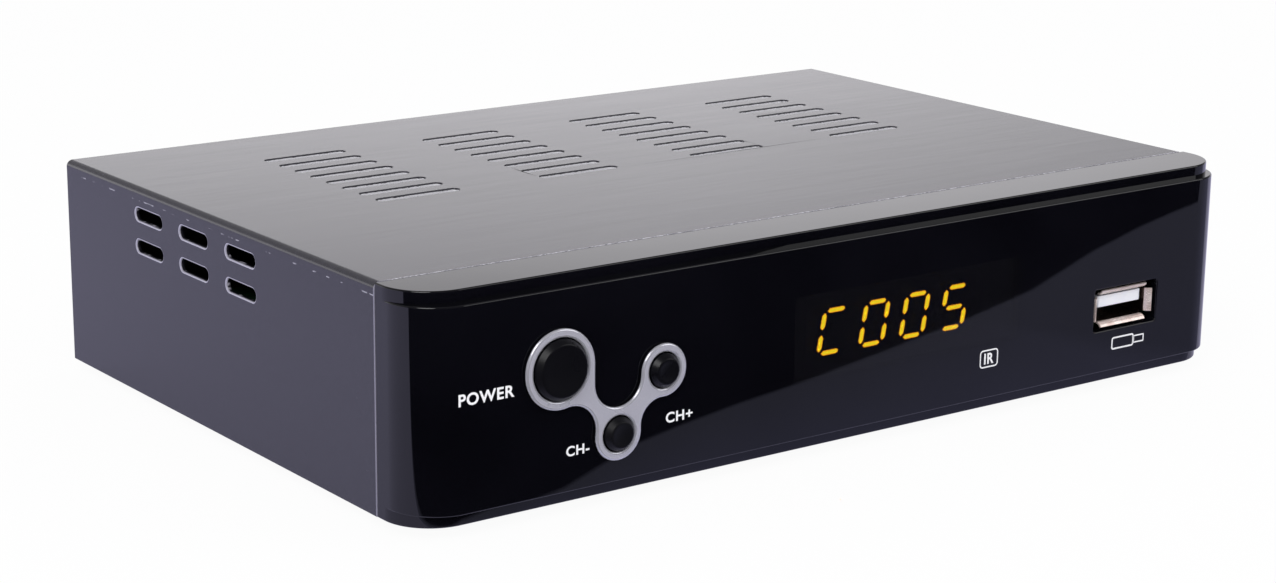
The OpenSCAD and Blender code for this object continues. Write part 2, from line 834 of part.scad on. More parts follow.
module video_sleeve() in_frame() color("#cfd1d4") jack_sleeve(jack_x + jack_pitch);
module left_sound_sleeve() in_frame() color("#cfd1d4") jack_sleeve(jack_x);
module right_sound_sleeve() in_frame() color("#cfd1d4") jack_sleeve(jack_x - jack_pitch);
module video_insert() in_frame() color("#e8c51c") jack_insert(jack_x + jack_pitch);
module left_sound_insert() in_frame() color("#ececea") jack_insert(jack_x);
module right_sound_insert() in_frame() color("#c22326") jack_insert(jack_x - jack_pitch);

// Power inlet for a round plug
inlet_nose_r = 4;
inlet_size = [9, 14, 11];
inlet_front = wall_out + 0.4;
inlet_floor = inlet_front - 9.2;
pin_root_r = inlet_pin_r + 0.2;
pin_root_l = 2;
pin_in = 0.8;

module power_inlet() in_frame() color("#17171a") difference() {
    union() {
        box([inlet_x - inlet_size.x / 2, inlet_front - inlet_size.y, board_top],
            [inlet_x + inlet_size.x / 2, wall_in - clear, board_top + inlet_size.z]);
        bar_y(inlet_x, inlet_z, inlet_nose_r, wall_in - past, inlet_front);
    }
    bar_y(inlet_x, inlet_z, inlet_r, inlet_floor, inlet_front + past);
    bar_y(inlet_x, inlet_z, pin_root_r, inlet_floor - pin_root_l, inlet_floor + past);
}

module power_inlet_pin() in_frame() color("#d5d6d8") {
    bar_y(inlet_x, inlet_z, pin_root_r, inlet_floor - pin_root_l, inlet_floor);
    bar_y(inlet_x, inlet_z, inlet_pin_r, inlet_floor - clear, inlet_front - pin_in);
}

// Parts on the main board, by their middles in X and Y and their sizes
processor_at = [22, 58];
processor_size = [19, 19, 1.4];
pad_size = [17, 17, 0.5];
sink_w = 25;
sink_base = 2;
sink_h = 10;
fins = 7;
fin_t = 1.2;
memory_at = [48, 58];
memory_size = [8, 13, 1.1];
flash_at = [24, 34];
flash_size = [5.3, 7.9, 1.8];
regulator_at = [[-30, 84], [-12, 66], [44, 84]];
regulator_size = [5, 4, 1.6];
capacitor_at = [[-52, 78], [-42, 88], [-50, 64], [-24, 52], [66, 60], [70, 44]];
capacitor_r = 3.15;
capacitor_h = 11.2;
capacitor_foot = [2.9, 1];
inductor_at = [[-38, 72], [-20, 74], [-4, 78], [40, 72]];
inductor_base = [7, 7, 1];
inductor_r = 3.3;
inductor_h = 3;
crystal_at = [0, 66];
crystal_size = [11, 4.6, 3.5];
chip_rows = [[4, 44], [-34, 58], [50, 30], [-30, 36]];
chips_in_row = [8, 6, 8, 7];
chip_pitch = 1.7;
chip_size = [2, 1, 0.7];

// A block on the main board, or lifted above it
module on_board(at, size, lift = 0)
    translate([at.x - size.x / 2, at.y - size.y / 2, board_top + lift]) cube(size);

module processor() in_frame() color("#202124") on_board(processor_at, processor_size);

module thermal_pad() in_frame() color("#9aa6b8")
    on_board(processor_at, pad_size, processor_size.z);

module heat_sink() in_frame() color("#a9acb0") {
    lift = processor_size.z + pad_size.z;
    step = (sink_w - fin_t) / (fins - 1);
    on_board(processor_at, [sink_w, sink_w, sink_base], lift);
    for (i = [0:fins - 1])
        on_board(processor_at + [(i - (fins - 1) / 2) * step, 0], [fin_t, sink_w, sink_h], lift);
}

module memory_chip() in_frame() color("#1b1c1f") on_board(memory_at, memory_size);
module flash_chip() in_frame() color("#1b1c1f") on_board(flash_at, flash_size);

module regulators() in_frame() color("#1d1e21")
    for (at = regulator_at) on_board(at, regulator_size);

module capacitors() in_frame() color("#23303f") for (at = capacitor_at)
    translate([at.x, at.y, board_top]) {
        cylinder(h = capacitor_foot[1], r = capacitor_foot[0]);
        translate([0, 0, capacitor_foot[1]])
            cylinder(h = capacitor_h - capacitor_foot[1], r = capacitor_r);
    }

module inductors() in_frame() color("#4a4b4f") for (at = inductor_at) {
    on_board(at, inductor_base);
    translate([at.x, at.y, board_top + inductor_base.z]) cylinder(h = inductor_h, r = inductor_r);
}

module crystal() in_frame() color("#c6c9cd")
    translate([crystal_at.x, crystal_at.y, board_top])
        linear_extrude(crystal_size.z) slot(crystal_size.x, crystal_size.y);

module chip_parts() in_frame() color("#b7a58a")
    for (row = [0:len(chip_rows) - 1], i = [0:chips_in_row[row] - 1])
        on_board(chip_rows[row] + [0, i * chip_pitch], chip_size);

// Wires between the two boards
header_x = [-30, -14];
header_z = 27;
header_h = 6;
header_d = 5;
board_header_y = 24;
ribbon_in = 1;
ribbon_t = 0.9;
ribbon_out = 3;

module board_header() in_frame() color("#efeee6")
    box([header_x[0], board_header_y - header_d / 2, board_top],
        [header_x[1], board_header_y + header_d / 2, board_top + header_h]);

module front_header() in_frame() color("#efeee6")
    box([header_x[0], panel_back, header_z - header_d / 2],
        [header_x[1], panel_back + header_h, header_z + header_d / 2]);

// The ribbon leaves the front board backwards, turns down and drops into its header
module ribbon_side() {
    y0 = panel_back + header_h;
    bend = board_header_y + ribbon_t / 2 - y0 - ribbon_out;
    turn = [y0 + ribbon_out, header_z + ribbon_t / 2 - bend];
    translate([y0, header_z - ribbon_t / 2]) square([ribbon_out, ribbon_t]);
    intersection() {
        translate(turn) difference() {
            circle(bend);
            circle(bend - ribbon_t);
        }
        translate(turn) square(bend + past);
    }
    translate([board_header_y - ribbon_t / 2, board_top + header_h])
        square([ribbon_t, turn.y - board_top - header_h]);
}

module ribbon_cable() in_frame() color("#8d9094")
    translate([header_x[0] + ribbon_in, 0, 0]) rotate([90, 0, 90])
        linear_extrude(header_x[1] - header_x[0] - 2 * ribbon_in) ribbon_side();

base_chassis();
top_cover();
front_bezel();
display_window();
button_trim();
power_button();
channel_down_button();
channel_up_button();
power_plunger();
channel_down_plunger();
channel_up_plunger();
power_switch();
channel_down_switch();
channel_up_switch();
front_board();
led_display();
lit_segments();
dark_segments();
infrared_receiver();
usb_shell();
usb_tongue();
usb_contacts();
main_board();
board_pillars();
board_screws();
front_board_screws();
cover_screws();
rubber_feet();
tuner_can();
aerial_in_socket();
aerial_out_socket();
aerial_in_insulator();
aerial_out_insulator();
aerial_contacts();
aerial_nuts();
hdmi_shell();
hdmi_tongue();
jack_block();
video_sleeve();
left_sound_sleeve();
right_sound_sleeve();
video_insert();
left_sound_insert();
right_sound_insert();
power_inlet();
power_inlet_pin();
processor();
thermal_pad();
heat_sink();
memory_chip();
flash_chip();
regulators();
capacitors();
inductors();
crystal();
chip_parts();
board_header();
front_header();
ribbon_cable();
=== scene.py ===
"""A digital television converter box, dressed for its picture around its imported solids.

Sizes are in millimetres in the case's own coordinates, as a maker would draw them:
X from the middle, Y backwards from the front lips, Z up from the underside of the sheet metal.
place() turns them into the shared frame, in metres.
"""

import logging
import math
from dataclasses import dataclass
from enum import Enum
from typing import Callable, Optional, Sequence

import bmesh
import bpy
from mathutils import Matrix, Vector


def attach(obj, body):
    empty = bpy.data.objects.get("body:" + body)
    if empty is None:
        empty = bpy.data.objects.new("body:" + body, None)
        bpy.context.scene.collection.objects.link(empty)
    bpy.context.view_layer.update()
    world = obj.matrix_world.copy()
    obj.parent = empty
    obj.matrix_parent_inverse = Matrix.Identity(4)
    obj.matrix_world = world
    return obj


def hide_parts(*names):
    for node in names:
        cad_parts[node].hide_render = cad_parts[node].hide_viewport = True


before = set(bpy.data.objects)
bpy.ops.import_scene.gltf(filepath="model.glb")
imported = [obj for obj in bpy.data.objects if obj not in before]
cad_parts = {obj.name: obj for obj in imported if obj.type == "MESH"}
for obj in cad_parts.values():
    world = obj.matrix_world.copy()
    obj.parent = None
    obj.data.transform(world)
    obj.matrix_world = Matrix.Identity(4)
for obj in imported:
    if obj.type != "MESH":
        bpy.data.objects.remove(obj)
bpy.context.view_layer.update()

log = logging.getLogger("converter_box")

Piece = bpy.types.Object
Tree = bpy.types.NodeTree
Socket = bpy.types.NodeSocket
Inputs = dict[int | str, object]
EdgeTest = Callable[[Vector, Vector, float], bool]
FaceTest = Callable[[Vector, Vector], bool]
Point = tuple[float, float, float]
Pair = tuple[float, float]

# The case's own origin in the shared frame, in millimetres
CASE_ORIGIN = Vector((0.0, -63.1, 2.0))

# Levels of the case along Y, front to back
FACE_Y = -1.5
TRIM_Y = -2.3
CAP_Y = -3.3
PANEL_IN_Y = 1.0
BEZEL_BACK_Y = 10.5
COVER_FRONT_Y = 10.75
WALL_OUT_Y = 119.1
CASE_BACK_Y = 120.0

# Levels of the case along Z, and its half width
HALF_W = 90.0
CASE_H = 38.0
LIP_H = 2.2
SHEET_T = 0.8

# How far printed ink stands out of its surface, and reaches into it
INK_OUT = 0.02
INK_IN = 0.01

# What tests of faces and edges go by: a point this near to a level lies on it, an edge that turns
# by more than this many degrees is sharp, and a direction this much along an axis is parallel to it
NEAR = 0.01
SHARP = 60
ALONG = 0.99


class Axis(Enum):
    """The direction that a turned piece is turned around."""

    BACK = "back"
    UP = "up"


class Body(Enum):
    """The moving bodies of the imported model."""

    CASE = "case"
    POWER_KEY = "power_key"
    DOWN_KEY = "channel_down_key"
    UP_KEY = "channel_up_key"


class Pick(Enum):
    """What an edit selects."""

    VERTEX = "VERT"
    EDGE = "EDGE"
    FACE = "FACE"


# Places and edits


def place(x: float, y: float, z: float) -> Vector:
    """Turns a point of the case, in millimetres, into the shared frame, in metres."""
    return (Vector((x, y, z)) + CASE_ORIGIN) / 1000


def in_case(point: Vector) -> Vector:
    """Turns a point of the shared frame, in metres, back into the case's millimetres."""
    return point * 1000 - CASE_ORIGIN


def hold(piece: Piece) -> None:
    """Makes a piece the only selected object and the active one.

    Args:
        piece: the object to hold.
    """
    bpy.ops.object.select_all(action="DESELECT")
    piece.select_set(True)
    bpy.context.view_layer.objects.active = piece


def settle(piece: Piece, name: str) -> Piece:
    """Names a piece and writes its place, turn and size into its mesh.

    Args:
        piece: the object to settle.
        name: the name it gets.

    Returns:
        The same object, at the origin, unturned and unscaled.
    """
    hold(piece)
    bpy.ops.object.transform_apply(location=True, rotation=True, scale=True)
    piece.name = name
    piece.data.name = name
    return piece


def edit(piece: Piece, pick: Pick, action: str = "DESELECT") -> bmesh.types.BMesh:
    """Opens a piece in edit mode.

    Args:
        piece: the object to edit.
        pick: what the next selection is made of.
        action: DESELECT for nothing selected, or SELECT for everything.

    Returns:
        The piece's editable mesh.
    """
    hold(piece)
    bpy.ops.object.mode_set(mode="EDIT")
    bpy.ops.mesh.select_mode(type=pick.value)
    bpy.ops.mesh.select_all(action=action)
    return bmesh.from_edit_mesh(piece.data)


def leave() -> None:
    """Goes back to object mode."""
    bpy.ops.object.mode_set(mode="OBJECT")


def select_edges(piece: Piece, test: EdgeTest) -> int:
    """Selects the edges that a test accepts, and stays in edit mode.

    Args:
        piece: the object to edit.
        test: takes an edge's middle in the case's millimetres, its direction, and the turn
            between its two faces in degrees.

    Returns:
        How many edges are selected.
    """
    shape = edit(piece, Pick.EDGE)
    shape.normal_update()
    found = 0
    for edge in shape.edges:
        a, b = edge.verts
        middle = in_case((a.co + b.co) / 2)
        along = (b.co - a.co).normalized()
        turn = math.degrees(edge.calc_face_angle(0.0)) if len(edge.link_faces) == 2 else 0.0
        if test(middle, along, turn):
            edge.select_set(True)
            found += 1
    bmesh.update_edit_mesh(piece.data)
    return found


def select_faces(piece: Piece, test: FaceTest) -> int:
    """Selects the faces that a test accepts, and stays in edit mode.

    Args:
        piece: the object to edit.
        test: takes a face's middle in the case's millimetres and its normal.

    Returns:
        How many faces are selected.
    """
    shape = edit(piece, Pick.FACE)
    shape.normal_update()
    found = 0
    for face in shape.faces:
        if test(in_case(face.calc_center_median()), face.normal):
            face.select_set(True)
            found += 1
    bmesh.update_edit_mesh(piece.data)
    return found


def paint_faces(piece: Piece, slot: int, test: FaceTest) -> None:
    """Gives the faces that a test accepts one of the piece's material slots.

    Args:
        piece: the object to edit.
        slot: the material slot's number.
        test: the face test, as in select_faces.
    """
    if select_faces(piece, test):
        piece.active_material_index = slot
        bpy.ops.object.material_slot_assign()
    leave()


def round_edges(
    piece: Piece,
    radius: float,
    test: EdgeTest,
    segments: int = 3,
    slot: int = -1,
    clamp: bool = True,
) -> None:
    """Rounds the edges that a test accepts.

    Args:
        piece: the object to edit.
        radius: the width of the rounding in millimetres.
        test: the edge test, as in select_edges.
        segments: how many strips the rounding has.
        slot: the material slot of the new strips, or -1 for their neighbours' own.
        clamp: whether the width gives way where edges are close together.
    """
    if select_edges(piece, test):
        bpy.ops.mesh.bevel(
            offset_type="OFFSET",
            offset=radius / 1000,
            segments=segments,
            profile=0.5,
            affect="EDGES",
            clamp_overlap=clamp,
            material=slot,
        )
    leave()


def use_modifier(piece: Piece, kind: str, **settings: object) -> None:
    """Adds a modifier to a piece and applies it.

    Args:
        piece: the object to change.
        kind: the modifier's type.
        **settings: the modifier's values.
    """
    hold(piece)
    modifier = piece.modifiers.new(kind.title(), kind)
    for key, value in settings.items():
        setattr(modifier, key, value)
    bpy.ops.object.modifier_apply(modifier=modifier.name)


def soften(piece: Piece, radius: float, segments: int = 2, turn: float = 40) -> None:
    """Rounds every edge that turns by more than an angle.

    Args:
        piece: the object to change.
        radius: the width of the rounding in millimetres.
        segments: how many strips the rounding has.
        turn: the angle in degrees.
    """
    use_modifier(
        piece,
        "BEVEL",
        width=radius / 1000,
        segments=segments,
        limit_method="ANGLE",
        angle_limit=math.radians(turn),
        use_clamp_overlap=True,
    )


def polish(piece: Piece, turn: float = 30) -> Piece:
    """Shades a piece smooth up to an angle, with its large faces kept flat.

    Args:
        piece: the object to shade.
        turn: edges that turn more than this many degrees stay sharp.

    Returns:
        The same object.
    """
    hold(piece)
    bpy.ops.object.shade_smooth_by_angle(angle=math.radians(turn))
    use_modifier(piece, "WEIGHTED_NORMAL", keep_sharp=True, weight=90)
    return piece


def clean(piece: Piece) -> None:
    """Merges doubled corners and joins flat faces.

    Args:
        piece: the object to clean.
    """
    edit(piece, Pick.VERTEX, "SELECT")
    bpy.ops.mesh.remove_doubles(threshold=1e-6)
    bpy.ops.mesh.dissolve_degenerate(threshold=1e-7)
    bpy.ops.mesh.dissolve_limited(angle_limit=math.radians(0.1))
    leave()


def weld(piece: Piece, threshold: float) -> None:
    """Merges doubled corners and points every face outwards.

    Args:
        piece: the object to weld.
        threshold: how near corners are that are merged, in metres.
    """
    edit(piece, Pick.VERTEX, "SELECT")
    bpy.ops.mesh.remove_doubles(threshold=threshold)
    bpy.ops.mesh.normals_make_consistent(inside=False)
    leave()


def cut(piece: Piece, *tools: Piece) -> None:
    """Cuts other pieces out of a piece, and removes them.

    Args:
        piece: the object that stays.
        *tools: the objects that are cut out of it.
    """
    for tool in tools:
        use_modifier(piece, "BOOLEAN", operation="DIFFERENCE", solver="EXACT", object=tool)
        bpy.data.objects.remove(tool)


def fuse(piece: Piece, *parts: Piece) -> None:
    """Makes a piece and others one solid, and removes the others.

    Args:
        piece: the object that stays.
        *parts: the objects that become part of it.
    """
    for part in parts:
        use_modifier(piece, "BOOLEAN", operation="UNION", solver="EXACT", object=part)
        bpy.data.objects.remove(part)


def gather(name: str, pieces: Sequence[Piece]) -> Piece:
    """Joins separate pieces into one object.

    Args:
        name: the name of the result.
        pieces: the objects to join, which are gone afterwards.

    Returns:
        The joined object.
    """
    hold(pieces[0])
    for piece in pieces[1:]:
        piece.select_set(True)
    if len(pieces) > 1:
        bpy.ops.object.join()
    pieces[0].name = name
    pieces[0].data.name = name
    return pieces[0]


def twin(piece: Piece, name: str, shift: Point) -> Piece:
    """Copies a piece with its own mesh, moved by millimetres.

    Args:
        piece: the object to copy.
        name: the copy's name.
        shift: how far the copy stands from the original.

    Returns:
        The copy.
    """
    copy = bpy.data.objects.new(name, piece.data.copy())
    bpy.context.scene.collection.objects.link(copy)
    copy.location = Vector(shift) / 1000
    return settle(copy, name)


# Starting shapes


def block(name: str, low: Point, high: Point) -> Piece:
    """A block from its lowest to its highest corner, ready to be shaped.

    Args:
        name: the object's name.
        low: the lowest corner in millimetres.
        high: the highest corner in millimetres.

    Returns:
        The new object.
    """
    a, b = place(*low), place(*high)
    bpy.ops.object.select_all(action="DESELECT")
    bpy.ops.mesh.primitive_cube_add(size=1.0, location=(a + b) / 2)
    piece = bpy.context.object
    piece.scale = b - a
    return settle(piece, name)


def bar(name: str, x: float, z: float, radius: float, y0: float, y1: float, sides: int = 64) -> Piece:
    """A round bar along Y, ready to be shaped.

    Args:
        name: the object's name.
        x: its middle across the case.
        z: its middle above the floor.
        radius: its radius.
        y0: where it starts.
        y1: where it ends.
        sides: how many sides its circle has.

    Returns:
        The new object.
    """
    bpy.ops.object.select_all(action="DESELECT")
    bpy.ops.mesh.primitive_cylinder_add(
        vertices=sides,
        radius=radius / 1000,
        depth=(y1 - y0) / 1000,
        end_fill_type="NGON",
        location=place(x, (y0 + y1) / 2, z),
        rotation=(math.radians(90), 0, 0),
    )
    return settle(bpy.context.object, name)


def rounded_block(name: str, low: Point, high: Point, radius: float, segments: int = 6) -> Piece:
    """A block whose four edges along Y are rounded.

    Args:
        name: the object's name.
        low: the lowest corner in millimetres.
        high: the highest corner in millimetres.
        radius: the radius of the rounding.
        segments: how many strips the rounding has.

    Returns:
        The new object.
    """
    piece = block(name, low, high)
    round_edges(piece, radius, lambda m, a, t: abs(a.y) > ALONG, segments)
    return piece


def trace(name: str, points: Sequence[Point]) -> Piece:
    """A line of edges through points, drawn by extruding one vertex from point to point.

    Args:
        name: the object's name.
        points: the points in the case's millimetres.

    Returns:
        The new object, left in edit mode with its last vertex selected.
    """
    bpy.ops.object.select_all(action="DESELECT")
    bpy.ops.mesh.primitive_plane_add(size=0.001, location=place(*points[0]))
    piece = settle(bpy.context.object, name)
    edit(piece, Pick.VERTEX, "SELECT")
    bpy.ops.mesh.merge(type="CENTER")
    for before, after in zip(points, points[1:]):
        step = (Vector(after) - Vector(before)) / 1000
        bpy.ops.mesh.extrude_region_move(TRANSFORM_OT_translate={"value": step})
    return piece


def turned(
    name: str,
    profile: Sequence[Pair],
    at: Pair,
    axis: Axis = Axis.BACK,
    steps: int = 64,
) -> Piece:
    """A piece turned on a lathe.

    Args:
        name: the object's name.
        profile: its half section as (radius, place along the axis), in millimetres.
        at: the axis's place: x and z where it points back, x and y where it points up.
        axis: the direction of the axis.
        steps: how many faces go round.

    Returns:
        The new object.
    """
    if axis is Axis.BACK:
        points = [(at[0] + r, along, at[1]) for r, along in profile]
        centre, direction = place(at[0], 0, at[1]), (0, 1, 0)
    else:
        points = [(at[0] + r, at[1], along) for r, along in profile]
        centre, direction = place(at[0], at[1], 0), (0, 0, 1)
    piece = trace(name, points)
    bpy.ops.mesh.select_all(action="SELECT")
    bpy.ops.mesh.spin(steps=steps, angle=math.tau, center=centre, axis=direction)
    leave()
    weld(piece, 1e-6)
    return piece


def recast(name: str, node: str) -> Piece:
    """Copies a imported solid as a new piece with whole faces, ready for its edges to be worked.

    Args:
        name: the new object's name.
        node: the solid's name.

    Returns:
        The new object, with no material.
    """
    piece = bpy.data.objects.new(name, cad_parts[node].data.copy())
    bpy.context.scene.collection.objects.link(piece)
    piece.data.name = name
    piece.data.materials.clear()
    hold(piece)
    bpy.ops.mesh.customdata_custom_splitnormals_clear()
    clean(piece)
    return piece


# Finishes


def linear(code: str) -> tuple[float, ...]:
    """Turns an sRGB hex colour into the linear values that a shader reads."""
    values = [int(code[i : i + 2], 16) / 255 for i in (1, 3, 5)]
    return (*(v / 12.92 if v <= 0.04045 else ((v + 0.055) / 1.055) ** 2.4 for v in values), 1.0)


def blank_tree(made: bpy.types.ID) -> Tree:
    """Gives a new material or world an empty node tree.

    Args:
        made: the material or world.

    Returns:
        Its node tree.
    """
    made.use_nodes = True
    made.node_tree.nodes.clear()
    return made.node_tree


def add_node(
    tree: Tree, kind: str, inputs: Inputs, out: int | str = 0, **settings: str
) -> Optional[Socket]:
    """Adds a node with its settings, values and links.

    Args:
        tree: the node tree.
        kind: the node's type, without the ShaderNode that each type starts with.
        inputs: a value, or the output socket to link, by input name or number.
        out: the output that is wanted, by name or number.
        **settings: the node's own properties.

    Returns:
        The wanted output socket, or None from a node that has no outputs.
    """
    node = tree.nodes.new("ShaderNode" + kind)
    for key, value in settings.items():
        setattr(node, key, value)
    for key, value in inputs.items():
        if isinstance(value, Socket):
            tree.links.new(value, node.inputs[key])
        else:
            node.inputs[key].default_value = value
    return node.outputs[out] if len(node.outputs) else None


def level(tree: Tree, axis: str) -> Socket:
    """Gives the piece's own coordinate along an axis, or in the world's tree the ray's direction."""
    return add_node(tree, "SeparateXYZ", {0: add_node(tree, "TexCoord", {}, "Object")}, axis)


def lumps(
    tree: Tree,
    size_mm: float,
    low: float = 0.0,
    high: float = 1.0,
    stretch: Point = (1.0, 1.0, 1.0),
    window: Pair = (0.3, 0.7),
) -> Socket:
    """An uneven pattern on the piece's own coordinates.

    Args:
        tree: the material's node tree.
        size_mm: the width of one lump on the real surface.
        low: the value between lumps.
        high: the value on lumps.
        stretch: how many times longer a lump is along X, Y and Z.
        window: the part of the noise that is spread from low to high.

    Returns:
        The socket with the pattern.
    """
    spot = add_node(tree, "TexCoord", {}, "Object")
    drawn = add_node(tree, "Mapping", {"Scale": tuple(1 / s for s in stretch), "Vector": spot})
    grain = {"Scale": 1000 / size_mm, "Detail": 2.0, "Roughness": 0.5, "Vector": drawn}
    noise = add_node(tree, "TexNoise", grain, "Fac")
    ends = {"From Min": window[0], "From Max": window[1], "To Min": low, "To Max": high}
    return add_node(tree, "MapRange", {**ends, "Value": noise})


@dataclass(frozen=True)
class Finish:
    """A finish of the real object, which dresses one material.

    Attributes:
        slot: the record's material slot that it belongs to.
        colour: its main colour, sRGB.
    """

    slot: str
    colour: str

    def dress(self, tree: Tree) -> Inputs:
        """Fills the material's tree. Each kind of finish has its own way.

        Args:
            tree: the material's empty node tree.

        Returns:
            What the shader's inputs get, by their names.
        """
        raise NotImplementedError

    def material(self) -> bpy.types.Material:
        """Builds the material once and gives it again when it is asked for again.

        Returns:
            The material.
        """
        name = "finish_" + self.slot
        known = bpy.data.materials.get(name)
        if known:
            return known
        made = bpy.data.materials.new(name)
        tree = blank_tree(made)
        inputs = {"Base Color": linear(self.colour), **self.dress(tree)}
        add_node(tree, "OutputMaterial", {"Surface": add_node(tree, "BsdfPrincipled", inputs)})
        return made

    def shade(self, tree: Tree, pattern: Socket, other: str) -> Socket:
        """Runs from the finish's colour to another one, in sRGB, along a pattern."""
        ends = {6: linear(self.colour), 7: linear(other)}
        return add_node(tree, "Mix", {**ends, 0: pattern}, 2, data_type="RGBA")

    def relief(self, tree: Tree, pattern: Socket, depth_mm: float) -> Socket:
        """Raises the surface by a depth in millimetres along a pattern."""
        return add_node(tree, "Bump", {"Strength": 1.0, "Distance": depth_mm / 1000, "Height": pattern})


@dataclass(frozen=True)
class SatinPaint(Finish):
    """Satin enamel baked on sheet steel: dark, even, and bright at a flat angle.

    The eye gets long faint streaks along the sheet, a fine orange peel, a few light specks, and
    short bare dashes where the folding tool rubbed the sides.
    """

    streak: str = "#2f2e37"
    speck: str = "#6d6b78"
    roughness: float = 0.2
    rubbed: str = "#b9b7c6"
    rubbed_z: float = 35.9

    def dress(self, tree: Tree) -> Inputs:
        """Streaks, specks, rubbed dashes and orange peel.

        Args:
            tree: the material's node tree.

        Returns:
            What the shader's inputs get, by their names.
        """
        # streaks are 0.6 mm wide and 14 mm long, as the sheet's rolling leaves them
        mixed = self.shade(tree, lumps(tree, 0.6, stretch=(24, 1.2, 1)), self.streak)
        # specks of 0.35 mm, drawn a little coarser than dust so that they show
        specks = lumps(tree, 0.35, 0.0, 0.5, (1, 2.5, 1), (0.74, 0.80))
        for share, colour in ((specks, self.speck), (self.dashes(tree), self.rubbed)):
            mixed = add_node(tree, "Mix", {0: share, 6: mixed, 7: linear(colour)}, 2, data_type="RGBA")
        return {
            "Base Color": mixed,
            # shine varies in fine lines along the sheet
            "Roughness": lumps(tree, 0.9, self.roughness - 0.01, self.roughness + 0.014, (22, 1, 1)),
            "Normal": self.relief(tree, lumps(tree, 0.5), 0.002),
        }

    def dashes(self, tree: Tree) -> Socket:
        """Says where the paint is rubbed through, in a broken line of dashes under the folds.

        Args:
            tree: the material's node tree.

        Returns:
            The socket with the share of bare metal.
        """
        across = add_node(tree, "Math", {0: level(tree, "X")}, operation="ABSOLUTE")
        side = (HALF_W - 0.05) / 1000
        on_side = add_node(tree, "Math", {0: across, 1: side}, operation="GREATER_THAN")
        line = place(0, 0, self.rubbed_z).z
        away = add_node(tree, "Math", {0: level(tree, "Z"), 1: line}, operation="SUBTRACT")
        off = add_node(tree, "Math", {0: away}, operation="ABSOLUTE")
        fade = {"From Min": 0.00006, "From Max": 0.00014, "To Min": 1.0, "To Max": 0.0}
        band = add_node(tree, "MapRange", {**fade, "Value": off})
        # dashes of 1 to 4 mm
        broken = lumps(tree, 1.1, 0.0, 0.7, (1, 2.4, 1), (0.56, 0.62))
        in_band = add_node(tree, "Math", {0: band, 1: broken}, operation="MULTIPLY")
        return add_node(tree, "Math", {0: in_band, 1: on_side}, operation="MULTIPLY")


@dataclass(frozen=True)
class CutSteel(Finish):
    """The punched edge of painted sheet steel: bright metal with paint left on it in places."""

    paint: str = "#1f1e25"
    bare: Pair = (0.50, 0.60)
    metallic: float = 0.35
    painted_shade_above: float = CASE_H

    def dress(self, tree: Tree) -> Inputs:
        """Bright dashes of 2 to 3 mm between strips of paint, and above a ragged line the paint's dark colour
        as painted shade.

        Args:
            tree: the material's node tree.

        Returns:
            What the shader's inputs get, by their names.
        """
        mixed = self.shade(tree, lumps(tree, 1.6, 0.0, 1.0, (2.2, 1, 1), self.bare), self.paint)
        # the line wanders by 0.16 mm
        wander = lumps(tree, 0.5, -0.00008, 0.00008)
        ragged = add_node(tree, "Math", {0: level(tree, "Z"), 1: wander}, operation="ADD")
        line = place(0, 0, self.painted_shade_above).z
        ends = {"From Min": line - 0.00003, "From Max": line + 0.00003}
        above = add_node(tree, "MapRange", {**ends, "Value": ragged})
        # above the line the whole wall takes the paint's dark colour: painted shade, which the top slots'
        # walls get above 37.74 mm
        coat = {0: above, 6: mixed, 7: linear(self.paint)}
        return {
            "Base Color": add_node(tree, "Mix", coat, 2, data_type="RGBA"),
            "Metallic": self.metallic,
            "Roughness": lumps(tree, 0.3, 0.28, 0.45),
            "Normal": self.relief(tree, lumps(tree, 0.15), 0.004),
        }


@dataclass(frozen=True)
class GlossMoulding(Finish):
    """Piano-gloss black ABS: a deep mirror, with hardly any colour of its own."""

    roughness: float = 0.008
    ior: float = 1.49

    def dress(self, tree: Tree) -> Inputs:
        """A mirror with the slow waviness of a moulding and a trace of handling marks."""
        return {
            "IOR": self.ior,
            "Roughness": lumps(tree, 16, self.roughness, self.roughness * 2.2),
            "Base Color": self.shade(tree, lumps(tree, 30), "#0b0b10"),
            "Normal": self.relief(tree, lumps(tree, 24), 0.004),
        }


@dataclass(frozen=True)
class SmokedAcrylic(Finish):
    """Smoked acrylic window: as glossy as the front around it, and dark."""

    def dress(self, tree: Tree) -> Inputs:
        """A dark clear pane with the same slow waviness as the front."""
        return {
            "Transmission Weight": 0.9,
            "IOR": 1.49,
            "Roughness": lumps(tree, 16, 0.008, 0.018),
            "Normal": self.relief(tree, lumps(tree, 24), 0.004),
        }


@dataclass(frozen=True)
class SilverPaint(Finish):
    """Silver metallic lacquer on a moulding: soft shine over a pale grey body."""

    metallic: float = 0.35
    roughness: float = 0.3

    def dress(self, tree: Tree) -> Inputs:
        """Fine flakes, which scatter the shine."""
        return {
            "Metallic": self.metallic,
            # flakes of 0.08 mm, twice the real size so that they show
            "Base Color": self.shade(tree, lumps(tree, 0.08), "#d2d1dc"),
            "Roughness": lumps(tree, 4, self.roughness - 0.03, self.roughness + 0.04),
            "Normal": self.relief(tree, lumps(tree, 0.12), 0.0015),
        }


@dataclass(frozen=True)
class MouldedPlastic(Finish):
    """A moulded plastic: spark-eroded grain of a stated size, and a slight unevenness in colour."""

    other: str
    roughness: float = 0.45
    grain_mm: float = 0.25
    grain_depth: float = 0.006

    def dress(self, tree: Tree) -> Inputs:
        """Grain in the surface, and slow variation in colour and shine."""
        return {
            "Base Color": self.shade(tree, lumps(tree, 5), self.other),
            "Roughness": lumps(tree, 2, self.roughness - 0.05, self.roughness + 0.06),
            "Normal": self.relief(tree, lumps(tree, self.grain_mm), self.grain_depth),
        }


